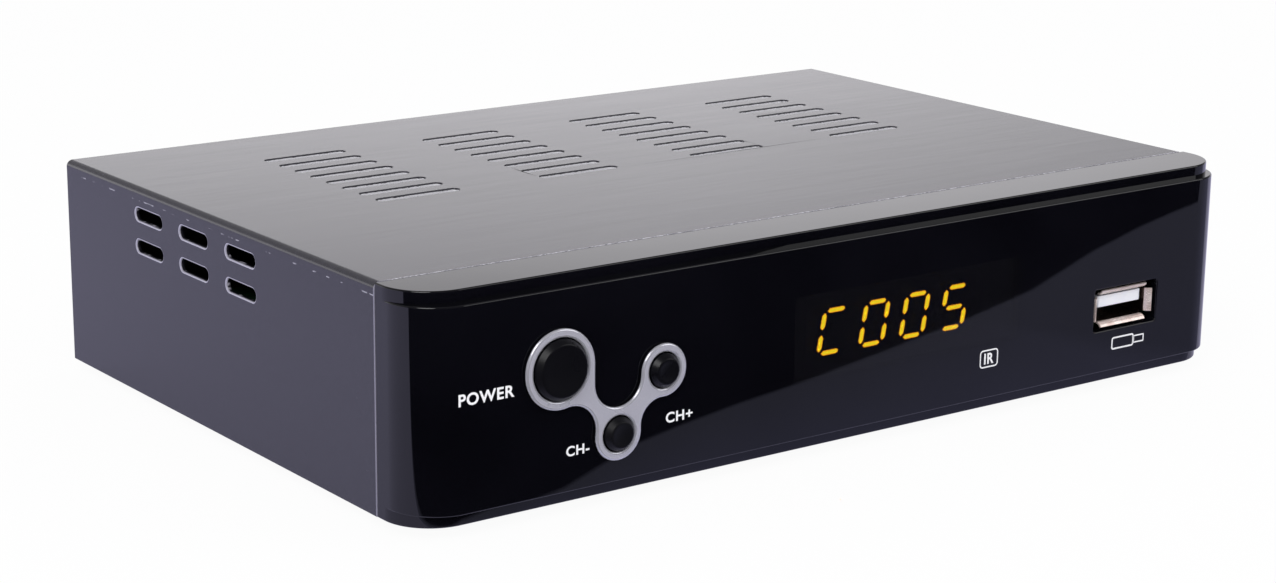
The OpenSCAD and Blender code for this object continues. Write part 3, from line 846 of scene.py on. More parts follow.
@dataclass(frozen=True)
class PlatedMetal(Finish):
    """A plated or bare metal: turned, drawn or stamped, with the marks along one direction."""

    other: str
    roughness: float = 0.3
    mark_mm: float = 0.15
    stretch: Point = (1.0, 1.0, 1.0)
    metallic: float = 1.0

    def dress(self, tree: Tree) -> Inputs:
        """Tool marks in shine and relief, and a slight tarnish in colour."""
        dull, bright = self.roughness + 0.09, self.roughness - 0.07
        return {
            "Metallic": self.metallic,
            "Base Color": self.shade(tree, lumps(tree, 2.5), self.other),
            "Roughness": lumps(tree, self.mark_mm, bright, dull, self.stretch),
            "Normal": self.relief(tree, lumps(tree, self.mark_mm, stretch=self.stretch), 0.0015),
        }


@dataclass(frozen=True)
class LitBar(Finish):
    """A lit bar of the number display: yellow in its heart, orange at its rim."""

    rim: str = "#ff9614"
    strength: float = 34.0

    def dress(self, tree: Tree) -> Inputs:
        """Light whose colour follows the bar's own heart attribute.

        Args:
            tree: the material's node tree.

        Returns:
            What the shader's inputs get, by their names.
        """
        heart = add_node(tree, "Attribute", {}, "Fac", attribute_name="heart")
        ends = {0: heart, 6: linear(self.rim), 7: linear(self.colour)}
        return {
            "Emission Color": add_node(tree, "Mix", ends, 2, data_type="RGBA"),
            "Emission Strength": self.strength,
            "Roughness": lumps(tree, 0.6, 0.3, 0.4),
        }


@dataclass(frozen=True)
class CircuitBoard(Finish):
    """Glass fibre board under solder mask: copper tracks show through as paler lines."""

    track: str
    weave_mm: float = 0.5

    def dress(self, tree: Tree) -> Inputs:
        """Tracks 0.3 mm wide on a 2.5 mm grid that comes and goes, and the cloth's weave.

        Args:
            tree: the material's node tree.

        Returns:
            What the shader's inputs get, by their names.
        """
        wave = {"Scale": 125.0, "Distortion": 0.0, "Vector": add_node(tree, "TexCoord", {}, "Object")}
        lines = [add_node(tree, "TexWave", wave, "Fac", bands_direction=way) for way in ("X", "Y")]
        choice = lumps(tree, 9, window=(0.49, 0.51))
        line = add_node(tree, "Mix", {0: choice, 2: lines[0], 3: lines[1]}, data_type="FLOAT")
        track = add_node(tree, "MapRange", {"From Min": 0.9, "From Max": 0.96, "Value": line})
        return {
            "Base Color": self.shade(tree, track, self.track),
            "Roughness": 0.35,
            "Normal": self.relief(tree, lumps(tree, self.weave_mm), 0.01),
        }


@dataclass(frozen=True)
class RubberFoot(Finish):
    """Moulded rubber: matt, with dust in its grain."""

    def dress(self, tree: Tree) -> Inputs:
        """A dull grain that dust makes a little paler."""
        return {
            "Base Color": self.shade(tree, lumps(tree, 0.8, 0.0, 0.6), "#34343a"),
            "Roughness": lumps(tree, 1.5, 0.75, 0.9),
            "Normal": self.relief(tree, lumps(tree, 0.4), 0.02),
        }


@dataclass(frozen=True)
class RibbonWire(Finish):
    """Flat ribbon of PVC-covered wires, side by side, with dark grooves between them."""

    groove: str = "#5c5f63"
    pitch: float = 1.27

    def dress(self, tree: Tree) -> Inputs:
        """Wires across X, one to a pitch.

        Args:
            tree: the material's node tree.

        Returns:
            What the shader's inputs get, by their names.
        """
        spot = add_node(tree, "TexCoord", {}, "Object")
        wave = {"Scale": 1000 / self.pitch / math.tau * 2, "Distortion": 0.0, "Vector": spot}
        wires = add_node(tree, "TexWave", wave, "Fac", bands_direction="X")
        groove = add_node(tree, "MapRange", {"From Min": 0.25, "From Max": 0.0, "Value": wires})
        return {
            "Base Color": self.shade(tree, groove, self.groove),
            "Roughness": 0.5,
            "Normal": self.relief(tree, wires, 0.12),
        }


@dataclass(frozen=True)
class ScreenInk(Finish):
    """Screen printed ink: dense and matt, with a slightly uneven coat."""

    def dress(self, tree: Tree) -> Inputs:
        """An uneven coat of ink."""
        return {
            "Base Color": self.shade(tree, lumps(tree, 0.2, 0.0, 0.5), "#dcdce4"),
            "Roughness": lumps(tree, 0.5, 0.45, 0.6),
        }


FINISHES: dict[str, Finish] = {
    finish.slot: finish
    for finish in (
        SatinPaint("cover_paint", "#27262d"),
        SatinPaint("base_paint", "#2a292f", "#33323a", "#6d6b76", 0.3, rubbed_z=-9.0),
        GlossMoulding("gloss_front", "#050508"),
        SmokedAcrylic("smoked_window", "#303036"),
        SilverPaint("silver_trim", "#c3c2cf"),
        GlossMoulding("button_black", "#0d0d11", 0.22, 1.33),
        MouldedPlastic("plunger_cream", "#d8d2c4", "#cbc4b4"),
        MouldedPlastic("switch_black", "#1c1c20", "#26262b"),
        CircuitBoard("front_board_green", "#1c4a2a", "#2e6b3e"),
        CircuitBoard("main_board_green", "#1b5230", "#2f7a49"),
        MouldedPlastic("display_black", "#0a0a0c", "#0e0e11", 0.6),
        LitBar("segment_lit", "#ffe020"),
        MouldedPlastic("segment_dark", "#17140f", "#1b1812", 0.5),
        MouldedPlastic("receiver_epoxy", "#120c10", "#1a1014", 0.2),
        PlatedMetal("socket_nickel", "#fff1ea", "#dcc6bd", 0.22, 0.2, (6, 1, 1), 0.45),
        MouldedPlastic("tongue_white", "#fafbff", "#eef0fa", 0.4),
        MouldedPlastic("tongue_black", "#17171a", "#202024", 0.4),
        PlatedMetal("contact_gold", "#d9b45a", "#c89f43", 0.25),
        PlatedMetal("pillar_brass", "#c8a24a", "#b08c3c", 0.32),
        PlatedMetal("screw_zinc", "#c9c9ce", "#b4b4ba", 0.32),
        PlatedMetal("screw_black", "#3a3a40", "#2c2c31", 0.42),
        RubberFoot("foot_rubber", "#1b1b1d"),
        PlatedMetal("can_tinplate", "#b9bcc0", "#a3a6aa", 0.34, 0.3, (8, 1, 1)),
        PlatedMetal("aerial_nickel", "#c9ccd0", "#b4b7bb", 0.24),
        MouldedPlastic("insulator_white", "#f1f0ea", "#e4e2d8", 0.4),
        MouldedPlastic("insert_yellow", "#e8c51c", "#d9b412", 0.32),
        MouldedPlastic("insert_white", "#ececea", "#dddcd6", 0.32),
        MouldedPlastic("insert_red", "#c22326", "#ad1b20", 0.32),
        MouldedPlastic("block_black", "#1d1d20", "#27272b", 0.45),
        MouldedPlastic("inlet_black", "#17171a", "#212125", 0.42),
        MouldedPlastic("chip_black", "#202124", "#292a2e", 0.5),
        MouldedPlastic("thermal_grey", "#9aa6b8", "#8995a8", 0.7),
        PlatedMetal("sink_aluminium", "#a9acb0", "#94979b", 0.4, 0.25, (1, 10, 1)),
        MouldedPlastic("capacitor_sleeve", "#23303f", "#1b2633", 0.35),
        MouldedPlastic("inductor_ferrite", "#4a4b4f", "#3c3d41", 0.65),
        PlatedMetal("crystal_steel", "#c6c9cd", "#b0b3b8", 0.28),
        MouldedPlastic("chip_ceramic", "#b7a58a", "#a3927a", 0.55),
        MouldedPlastic("header_white", "#efeee6", "#e2e0d6", 0.42),
        RibbonWire("ribbon_grey", "#8d9094"),
    )
}
# the top slots' walls: near-white metal as a painted highlight below, dark above 37.74 mm as painted shade
# inside the slots, with a few real strips of paint
TOP_SLOT_SHADE_AND_GLINT = CutSteel("top_slot_shade_and_glint", "#fbfaff", "#2b2a33", (0.70, 0.80), 0.1, 37.74)
SIDE_SLOT_STEEL = CutSteel("side_slot_steel", "#c4c2ce", bare=(0.36, 0.44))
SIDE_SLOT_EDGE = CutSteel("side_slot_edge", "#bbb9c7", bare=(0.74, 0.84))
# the cover's cut front edge in two copies: near white with pale paint on top as a painted highlight, mid grey
# with darker paint on the sides as painted shade
TOP_EDGE_STEEL_LIT = CutSteel("top_edge_steel_lit", "#eceaf4", "#8a8894", (0.54, 0.62))
FRONT_EDGE_STEEL_SHADED = CutSteel("front_edge_steel_shaded", "#8f8d9a", "#5b5966", (0.72, 0.84))
# dark brown inside the socket: painted shade deep in the shell
SOCKET_PAINTED_SHADE = PlatedMetal("socket_painted_shade", "#5e4c44", "#43352f", 0.3, 0.2, (6, 1, 1))
TRIM_BODY = GlossMoulding("trim_body", "#050508", 0.05)
# the trim's rounded rim: more polished than its face, and paler, a painted highlight
TRIM_RIM_HIGHLIGHT = SilverPaint("trim_rim_highlight", "#e8e8f0", 0.6, 0.22)
LABEL_INK = ScreenInk("label_ink", "#ffffff")
REAR_INK = ScreenInk("rear_ink", "#c9c9cf")


def keep_node(node: str, slot: str) -> None:
    """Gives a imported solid, whose shape is right, its finish.

    Args:
        node: the solid's name.
        slot: the record's slot that it takes its finish from.
    """
    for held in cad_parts[node].material_slots:
        held.material = FINISHES[slot].material()
    log.info("kept solid %s in %s", node, slot)


def hand_over(
    piece: Piece,
    slot: str,
    *nodes: str,
    body: Body = Body.CASE,
    main: Optional[Finish] = None,
    extra: Sequence[Finish] = (),
) -> None:
    """Dresses a finished piece and tells the frame what it is.

    Args:
        piece: the finished object.
        slot: the record's slot that it takes its finish from.
        *nodes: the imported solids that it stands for.
        body: the body that it moves with.
        main: the finish of its first slot, where it isn't the record slot's own.
        extra: the finishes of its further material slots, in order.
    """
    held = piece.data.materials
    for index, finish in enumerate([main or FINISHES[slot], *extra]):
        if index < len(held):
            held[index] = finish.material()
        else:
            held.append(finish.material())
    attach(piece, body.value)
    if nodes:
        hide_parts(*nodes)
    log.info("built %s on %s in %s", piece.name, body.value, slot)


def softened(name: str, node: str, slot: str, soft: float, segments: int = 2) -> None:
    """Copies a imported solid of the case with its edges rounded, and hands it over.

    Args:
        name: the new piece's name.
        node: the solid's name.
        slot: the record's slot of its finish.
        soft: the width of the rounding in millimetres.
        segments: how many strips the rounding has.
    """
    piece = recast(name, node)
    soften(piece, soft, segments)
    hand_over(polish(piece), slot, node)


# Lettering


class Facing(Enum):
    """Which way a printed word faces."""

    FRONT = "front"
    REAR = "rear"


@dataclass(frozen=True)
class Word:
    """A printed word that fills a rectangle of the front or the rear wall.

    Attributes:
        name: the piece's name.
        text: what it says.
        left: the lower X of the rectangle.
        right: the higher X of the rectangle.
        low: the lower Z of the rectangle.
        high: the higher Z of the rectangle.
        weight: how far the strokes are thickened, in parts of the letter height.
        facing: the side that it is read from.
        spacing: the room for each letter, as a share of the font's own.
    """

    name: str
    text: str
    left: float
    right: float
    low: float
    high: float
    weight: float = 0.024
    facing: Facing = Facing.FRONT
    spacing: float = 1.1

    def build(self) -> Piece:
        """Sets the word, makes it a thin mesh and fits it into its rectangle.

        Returns:
            The new object.
        """
        bpy.ops.object.select_all(action="DESELECT")
        bpy.ops.object.text_add(location=(0, 0, 0))
        piece = bpy.context.object
        piece.data.body = self.text
        piece.data.offset = self.weight
        piece.data.space_character = self.spacing
        piece.data.extrude = 0.5
        turn = math.radians(180) if self.facing is Facing.REAR else 0.0
        piece.rotation_euler = (math.radians(90), 0, turn)
        hold(piece)
        bpy.ops.object.convert(target="MESH")
        piece = settle(bpy.context.object, self.name)
        corners = [v.co for v in piece.data.vertices]
        low = Vector([min(c[i] for c in corners) for i in range(3)])
        high = Vector([max(c[i] for c in corners) for i in range(3)])
        y = FACE_Y - INK_OUT if self.facing is Facing.FRONT else WALL_OUT_Y - INK_IN
        a, b = place(self.left, y, self.low), place(self.right, y + INK_OUT + INK_IN, self.high)
        fit = Matrix.Identity(4)
        for i in range(3):
            fit[i][i] = (b[i] - a[i]) / (high[i] - low[i])
            fit[i][3] = a[i] - low[i] * fit[i][i]
        piece.data.transform(fit)
        weld(piece, 1e-7)
        return piece


# The case


@dataclass
class SteelCase:
    """The folded cover and base, with their screws and feet.

    Attributes:
        slot_edge: width of the rounded edge around the top slots.
        side_slot_edge: width of the worn edge around the side slots.
        front_edge: width of the worn edge along the cover's front, painted lighter on top and darker on the
            sides as painted light.
        rear_edge: width of the painted edges at the cover's back and foot.
        fold_z: where the folds along the cover start.
        fold_r: radius of the folds.
        slot_x: how far the slots reach to the sides.
        top_slot_y: the stretch of Y that holds the top slots.
        side_slot_y: the stretch of Y that holds the side slots.
        side_slot_z: the height above which the side slots lie.
        screw_x: middles of the cover screws.
        screw_z: their height.
        head_h: how far their heads stand out.
        recess_r: a radius between a head's recess and its rim.
        dome: rounding of the heads.
        base_edge: rounding of the base's edges.
        base_front_y: the Y behind which they are in sight.
        foot_at: the middle of the first foot.
        foot_pitch: the distances from foot to foot.
        foot_profile: the half section of a foot.
    """

    slot_edge: float = 0.25
    side_slot_edge: float = 0.28
    front_edge: float = 0.3
    rear_edge: float = 0.2
    fold_z: float = 36.8
    fold_r: float = 1.2
    slot_x: float = 80.0
    top_slot_y: Pair = (50.0, 105.0)
    side_slot_y: Pair = (45.0, 95.0)
    side_slot_z: float = 20.0
    screw_x: Point = (-62.0, 0.0, 62.0)
    screw_z: float = 33.0
    head_h: float = 1.7
    recess_r: float = 2.4
    dome: float = 0.9
    base_edge: float = 0.15
    base_front_y: float = 13.0
    foot_at: Pair = (-76.0, 26.0)
    foot_pitch: Pair = (152.0, 80.0)
    foot_profile: tuple[Pair, ...] = (
        (0, -1.7), (3.6, -1.7), (4.3, -2), (5.5, -2), (5.85, -1.85), (6, -1.5), (6, -0.3), (5.8, 0), (0, 0),
    )

    def build(self) -> None:
        """Builds and dresses every piece of the case."""
        self.cover()
        self.base()
        self.screws()
        self.feet()

    def in_top_slots(self, m: Vector) -> bool:
        """Says whether a point lies in the top sheet among its slots."""
        in_sheet = CASE_H - SHEET_T - NEAR < m.z
        return in_sheet and abs(m.x) < self.slot_x and self.top_slot_y[0] < m.y < self.top_slot_y[1]

    def in_side_slots(self, m: Vector) -> bool:
        """Says whether a point lies in a side sheet among its slots.

        Args:
            m: the point in the case's millimetres.

        Returns:
            Whether it does.
        """
        in_sheet = HALF_W - SHEET_T - NEAR < abs(m.x)
        in_row = self.side_slot_y[0] < m.y < self.side_slot_y[1]
        return in_sheet and in_row and self.side_slot_z < m.z < self.fold_z - 1

    def on_top(self, m: Vector) -> bool:
        """Says whether a point lies in the flat of the top sheet."""
        return m.z > CASE_H - SHEET_T - NEAR and abs(m.x) < HALF_W - self.fold_r

    def on_outer_front(self, m: Vector) -> bool:
        """Says whether a point lies on the outer corner of the cover's front edge.

        Args:
            m: the point in the case's millimetres.

        Returns:
            Whether it does.
        """
        past_x = abs(m.x) - (HALF_W - self.fold_r)
        past_z = m.z - (CASE_H - self.fold_r)
        around_fold = past_x > 0 and past_z > 0 and math.hypot(past_x, past_z) > self.fold_r - 0.3
        flat = abs(m.x) > HALF_W - NEAR or m.z > CASE_H - NEAR
        return abs(m.y - COVER_FRONT_Y) < NEAR and (flat or around_fold)

    def cover(self) -> None:
        """The cover, with bare metal in its slots and along its front edge, painted shade and a painted
        highlight on the top slots' walls, and the front edge painted lighter on top than on the sides.
        """
        shell = recast("cover_shell", "top_cover")
        bare = [TOP_SLOT_SHADE_AND_GLINT, SIDE_SLOT_STEEL, SIDE_SLOT_EDGE, TOP_EDGE_STEEL_LIT, FRONT_EDGE_STEEL_SHADED]
        for finish in (FINISHES["cover_paint"], *bare):
            shell.data.materials.append(finish.material())
        top_wall, side_wall, side_edge, top_edge, front_edge = range(1, 6)
        for slot, test in (
            # the top slots' walls get painted shade above 37.74 mm and a painted highlight below
            (top_wall, lambda m, n: abs(n.z) < 0.1 and self.in_top_slots(m)),
            (side_wall, lambda m, n: abs(n.x) < 0.1 and self.in_side_slots(m)),
            # the cut front edge: a darker copy on the sides and a lighter copy on top, painted shade and
            # painted highlight
            (front_edge, lambda m, n: n.y < -0.9 and m.y < COVER_FRONT_Y + 0.1),
            (top_edge, lambda m, n: n.y < -0.9 and m.y < COVER_FRONT_Y + 0.1 and self.on_top(m)),
        ):
            paint_faces(shell, slot, test)
        # width, strips, material slot and place of the worn edges
        for width, steps, slot, test in (
            (self.side_slot_edge, 2, side_edge, lambda m: self.in_side_slots(m) and self.outside(m)),
            (self.slot_edge, 3, 0, lambda m: self.in_top_slots(m) and self.outside(m)),
            (self.front_edge, 2, top_edge, lambda m: self.on_outer_front(m) and self.on_top(m)),
            (self.front_edge, 2, front_edge, lambda m: self.on_outer_front(m) and not self.on_top(m)),
            (self.rear_edge, 2, -1, lambda m: m.y > CASE_BACK_Y - NEAR or m.z < NEAR),
        ):
            round_edges(shell, width, lambda m, a, t: t > SHARP and test(m), steps, slot, False)
        hand_over(polish(shell), "cover_paint", "top_cover", extra=bare)

    def outside(self, m: Vector) -> bool:
        """Says whether a point lies on the cover's outer surface."""
        return abs(m.z - CASE_H) < NEAR or abs(abs(m.x) - HALF_W) < NEAR

    def base(self) -> None:
        """The base with its rear wall."""
        pan = recast("base_pan", "base_chassis")
        round_edges(pan, self.base_edge, lambda m, a, t: t > SHARP and m.y > self.base_front_y, 2)
        hand_over(polish(pan), "base_paint", "base_chassis")

    def screws(self) -> None:
        """The cover's three screws, with domed heads."""
        screws = recast("cover_screw_set", "cover_screws")
        head_y = CASE_BACK_Y + self.head_h

        def on_head(m: Vector, a: Vector, t: float) -> bool:
            """Accepts the sharp front rim of a head."""
            return t > SHARP and abs(m.y - head_y) < NEAR and self.on_rim(m)

        round_edges(screws, self.dome, on_head, 4)
        soften(screws, 0.08, 1)
        hand_over(polish(screws), "screw_black", "cover_screws")

    def on_rim(self, m: Vector) -> bool:
        """Says whether a point lies on the rim of a cover screw's head."""
        return min(math.hypot(m.x - x, m.z - self.screw_z) for x in self.screw_x) > self.recess_r

    def feet(self) -> None:
        """The four rubber feet, each with a shallow dish below."""
        first = turned("foot", self.foot_profile, self.foot_at, Axis.UP, 48)
        wide, deep = self.foot_pitch
        rest = [twin(first, "foot", shift) for shift in ((wide, 0, 0), (0, deep, 0), (wide, deep, 0))]
        hand_over(polish(gather("feet", [first, *rest])), "foot_rubber", "rubber_feet")


# The front


@dataclass
class GlossFront:
    """The moulded front, its window, the silver trim, the three buttons and the printed words.

    Attributes:
        corner_r: radius of the two front corners, seen from above.
        corner_y: the Y before which they lie.
        through: the stretch of Y that the cuts of the window and the socket run over.
        bored: the stretch of Y that the button holes are cut over.
        wall: thickness of the moulding.
        lip_soft: rounding along the lips.
        plate_soft: rounding along the raised face.
        power: middle and hole radius of the power button.
        down: middle and hole radius of the channel down button.
        up: middle and hole radius of the channel up button.
        cap_gap: the gap between a button and its hole.
        trim_soft: rounding of the silver trim.
        window_at: the window's low and high corner, X and Z.
        window_r: radius of its corners.
        socket_at: low and high corner of the memory socket's hole, X and Z.
        socket_r: radius of its corners.
        rim_at: low and high corner of the rim that holds the front to the case.
        rim_wall: thickness of the rim.
        rim_r: radius of its corners.
        nib_x: middles of the snap nibs.
        nib_at: low and high corner of a nib around its middle.
        boss_x: middles of the screw bosses.
        boss_z: their heights.
        boss_r: their radius.
        boss_y: the Y of their ends.
        pilot_r: the radius of their bores.
        pilot_y: the Y where the bores stop.
        hole_soft: rounding of the socket hole's edge.
        collar_out: how far the collar behind a cap reaches past the cap's hole.
        collar_y: the Y of its back.
        stem_r: the radius of the cap's stem.
        stem_y: the Y of its end.
    """

    corner_r: float = 8.7
    corner_y: float = 5.0
    through: Pair = (-3.0, 2.0)
    bored: Pair = (-3.0, 3.0)
    wall: float = 2.5
    lip_soft: float = 0.28
    plate_soft: float = 0.28
    power: Point = (-64.0, 22.9, 5.2)
    down: Point = (-52.7, 10.4, 3.05)
    up: Point = (-43.7, 19.5, 3.05)
    cap_gap: float = 0.2
    trim_soft: float = 0.38
    window_at: tuple[Pair, Pair] = ((-16.0, 12.3), (36.0, 27.3))
    window_r: float = 1.0
    socket_at: tuple[Pair, Pair] = ((55.3, 10.1), (71.5, 18.1))
    socket_r: float = 0.5
    rim_at: tuple[Point, Point] = ((-89.05, 10.4, 0.95), (89.05, 14.5, 37.05))
    rim_wall: float = 1.5
    rim_r: float = 1.3
    nib_x: Point = (-60.0, 0.0, 60.0)
    nib_at: tuple[Point, Point] = ((-3.0, 12.1, 0.1), (3.0, 13.6, 2.45))
    boss_x: Pair = (-73.5, 41.0)
    boss_z: Pair = (7.5, 31.5)
    boss_r: float = 2.4
    boss_y: float = 8.0
    pilot_r: float = 1.3
    pilot_y: float = 2.0
    hole_soft: float = 0.25
    collar_out: float = 1.2
    collar_y: float = 2.0
    stem_r: float = 2.0
    stem_y: float = 3.5

    def build(self) -> None:
        """Builds and dresses every piece of the front."""
        self.moulding()
        self.window()
        self.trim()
        self.buttons()
        self.words()

    def slab(self, name: str, front: float, low: float, high: float, soft: float) -> Piece:
        """A full-width slab of the front with round corners and a soft rim.

        Args:
            name: the object's name.
            front: the Y of its face.
            low: its lower Z.
            high: its higher Z.
            soft: the rounding of its rim.

        Returns:
            The new object.
        """
        piece = block(name, (-HALF_W, front, low), (HALF_W, BEZEL_BACK_Y, high))
        round_edges(piece, self.corner_r, lambda m, a, t: abs(a.z) > ALONG and m.y < self.corner_y, 20)

        def on_rim(m: Vector, a: Vector, t: float) -> bool:
            """Accepts the sharp edges around the slab's face."""
            return t > SHARP and abs(a.z) < NEAR and m.y < BEZEL_BACK_Y - NEAR

        round_edges(piece, soft, on_rim, 4)
        return piece

    def moulding(self) -> None:
        """The one-piece moulding: lips, raised face, cavity, rim, nibs and bosses."""
        front = self.slab("front_moulding", 0.0, 0.0, CASE_H, self.lip_soft)
        plate = self.slab("plate", FACE_Y, LIP_H, CASE_H - LIP_H, self.plate_soft)
        fuse(front, plate)
        cavity = block(
            "cavity",
            (-HALF_W + self.wall, PANEL_IN_Y, self.wall),
            (HALF_W - self.wall, BEZEL_BACK_Y + 1, CASE_H - self.wall),
        )
        inner_r = self.corner_r - self.wall
        round_edges(cavity, inner_r, lambda m, a, t: abs(a.z) > ALONG and m.y < self.corner_y, 12)
        cut(front, cavity)
        low, high = self.rim_at
        rim = rounded_block("rim", low, high, self.rim_r, 4)
        core_low = (low[0] + self.rim_wall, low[1] - 1, low[2] + self.rim_wall)
        core_high = (high[0] - self.rim_wall, high[1] + 1, high[2] - self.rim_wall)
        cut(rim, block("rim_core", core_low, core_high))
        fuse(front, rim)
        low, high = self.nib_at
        for x in self.nib_x:
            fuse(front, block("nib", (x + low[0], *low[1:]), (x + high[0], *high[1:])))
        for x in self.boss_x:
            for z in self.boss_z:
                fuse(front, bar("boss", x, z, self.boss_r, PANEL_IN_Y - 0.1, self.boss_y, 32))
                cut(front, bar("pilot", x, z, self.pilot_r, self.pilot_y, self.boss_y + 1, 24))
        y0, y1 = self.through
        for name, (low, high), radius in (
            ("window_hole", self.window_at, self.window_r),
            ("socket_hole", self.socket_at, self.socket_r),
        ):
            cut(front, rounded_block(name, (low[0], y0, low[1]), (high[0], y1, high[1]), radius))
        for x, z, r in (self.power, self.down, self.up):
            cut(front, bar("hole", x, z, r, *self.bored, 96))
        clean(front)
        weld(front, 1e-6)
        (x0, z0), (x1, z1) = self.socket_at

        def at_socket(m: Vector, a: Vector, t: float) -> bool:
            """Accepts the edge of the socket's hole in the face."""
            in_hole = x0 - 1 < m.x < x1 + 1 and z0 - 1 < m.z < z1 + 1
            return t > SHARP and abs(m.y - FACE_Y) < NEAR and in_hole

        round_edges(front, self.hole_soft, at_socket, 3)
        hand_over(polish(front), "gloss_front", "front_bezel")

    def window(self) -> None:
        """The smoked window, flush with the face and without a visible seam."""
        low, high = self.window_at
        corners = (low[0], FACE_Y, low[1]), (high[0], PANEL_IN_Y, high[1])
        pane = rounded_block("window_pane", *corners, self.window_r)
        soften(pane, 0.02, 1)
        hand_over(polish(pane), "smoked_window", "display_window")

    def trim(self) -> None:
        """The silver trim around the three holes: a black body with a rounded rim that is more polished and
        painted paler than the face, a painted highlight.
        """
        trim = recast("trim_rings", "button_trim")
        for finish in (FINISHES["silver_trim"], TRIM_BODY, TRIM_RIM_HIGHLIGHT):
            trim.data.materials.append(finish.material())
        flat, wall, edge = range(3)
        paint_faces(trim, wall, lambda m, n: n.y > -ALONG)
        select_faces(trim, lambda m, n: n.y < -ALONG and m.y < TRIM_Y + NEAR)
        bpy.ops.transform.translate(value=(0, self.trim_soft / 1000, 0))
        # the rounded rim takes the paler silver: a painted highlight
        trim.active_material_index = edge
        bpy.ops.object.material_slot_assign()
        # a quarter circle in six steps
        steps = [math.radians(15 * i) for i in range(7)]
        for before, after in zip(steps, steps[1:]):
            bpy.ops.mesh.inset(
                thickness=self.trim_soft / 1000 * (math.cos(before) - math.cos(after)),
                depth=self.trim_soft / 1000 * (math.sin(after) - math.sin(before)),
                use_boundary=True,
                use_even_offset=True,
            )
        trim.active_material_index = flat
        bpy.ops.object.material_slot_assign()
        leave()
        hand_over(polish(trim, 40), "silver_trim", "button_trim", extra=[TRIM_BODY, TRIM_RIM_HIGHLIGHT])

    def buttons(self) -> None:
        """The three caps, each turned with a round rim and a shallow dish in its face."""
        # the dish's depth below the crest at each share of the face, and the sloping rim as
        # how far it lies inside the cap's side and below its crest
        dish = ((0.0, 0.20), (0.25, 0.19), (0.5, 0.15), (0.75, 0.08), (0.92, 0.01))
        rim = ((0.95, 0.0), (0.82, 0.0), (0.72, 0.03), (0.64, 0.09), (0.57, 0.19), (0.0, 0.95))
        for name, node, body, (x, z, hole) in (
            ("power_cap", "power_button", Body.POWER_KEY, self.power),
            ("channel_down_cap", "channel_down_button", Body.DOWN_KEY, self.down),
            ("channel_up_cap", "channel_up_button", Body.UP_KEY, self.up),
        ):
            r = hole - self.cap_gap
            face_r = r - rim[0][0]
            profile = [(face_r * share, CAP_Y + deep) for share, deep in dish]
            profile += [(r - inside, CAP_Y + deep) for inside, deep in rim]
            collar = hole + self.collar_out
            profile += [(r, PANEL_IN_Y), (collar, PANEL_IN_Y), (collar, self.collar_y)]
            profile += [(self.stem_r, self.collar_y), (self.stem_r, self.stem_y), (0, self.stem_y)]
            cap = turned(name, profile, (x, z), steps=96)
            hand_over(polish(cap, 35), "button_black", node, body=body)

    def words(self) -> None:
        """The printed words beside the buttons and the plain marks beside the window and socket."""
        for word in (
            Word("word_power", "POWER", -82.65, -72.36, 19.8, 21.8),
            Word("word_channel_down", "CH-", -62.5, -58.0, 8.1, 9.8),
            Word("word_channel_up", "CH+", -42.8, -37.35, 10.2, 12.0),
            Word("word_ir", "IR", 27.95, 30.25, 8.55, 10.55),
        ):
            hand_over(word.build(), "gloss_front", main=LABEL_INK)
        self.printed_mark("mark_ir_frame", [((26.9, 7.9), (31.3, 11.2), 0.25, 0.7)])
        stick = [((60.2, 6.1), (66.0, 8.5), 0.3, 0.5), ((65.9, 6.55), (68.7, 8.05), 0.25, 0.12)]
        self.printed_mark("mark_memory_stick", stick)

    def printed_mark(self, name: str, frames: Sequence[tuple[Pair, Pair, float, float]]) -> None:
        """Prints thin open frames on the front.

        Args:
            name: the piece's name.
            frames: for each frame its low and high corner in X and Z, the width of its line and
                the radius of its corners.
        """
        parts = []
        y0, y1 = FACE_Y - INK_OUT, FACE_Y + INK_IN
        for (x0, z0), (x1, z1), line, radius in frames:
            ring = rounded_block("ring", (x0, y0, z0), (x1, y1, z1), radius, 5)
            inner = (x0 + line, y0 - 1, z0 + line), (x1 - line, y1 + 1, z1 - line)
            cut(ring, rounded_block("core", *inner, max(radius - 0.25, 0.03), 5))
            parts.append(ring)
        hand_over(gather(name, parts), "gloss_front", main=LABEL_INK)


# The display


@dataclass
class NumberDisplay:
    """The four-digit number display and the front board with its switches behind the front.

    Attributes:
        rim_w: width of the orange rim of a lit bar.
        end_soft: rounding of a bar's ends.
    """

    rim_w: float = 0.24
    end_soft: float = 0.24

    def build(self) -> None:
        """Builds the lit bars and dresses the solids behind the front."""
        self.lit_bars()
        for node, slot in (
            ("led_display", "display_black"),
            ("dark_segments", "segment_dark"),
            ("infrared_receiver", "receiver_epoxy"),
            ("front_board", "front_board_green"),
            ("front_board_screws", "screw_zinc"),
            ("power_switch", "switch_black"),
            ("channel_down_switch", "switch_black"),
            ("channel_up_switch", "switch_black"),
            ("power_plunger", "plunger_cream"),
            ("channel_down_plunger", "plunger_cream"),
            ("channel_up_plunger", "plunger_cream"),
            ("front_header", "header_white"),
        ):
            keep_node(node, slot)

    def lit_bars(self) -> None:
        """The lit bars, each with a bright heart inside a rim."""
        bars = recast("lit_bars", "lit_segments")
        round_edges(bars, self.end_soft, lambda m, a, t: abs(a.y) > ALONG and t > 20, 3)
        select_faces(bars, lambda m, n: n.y < -ALONG)
        bpy.ops.mesh.inset(thickness=self.rim_w / 1000, depth=0.0, use_individual=True)
        leave()
        hearts = [float(v.select) for v in bars.data.vertices]
        values = bars.data.attributes.new("heart", "FLOAT", "POINT")
        values.data.foreach_set("value", hearts)
        hand_over(bars, "segment_lit", "lit_segments")


# The memory socket


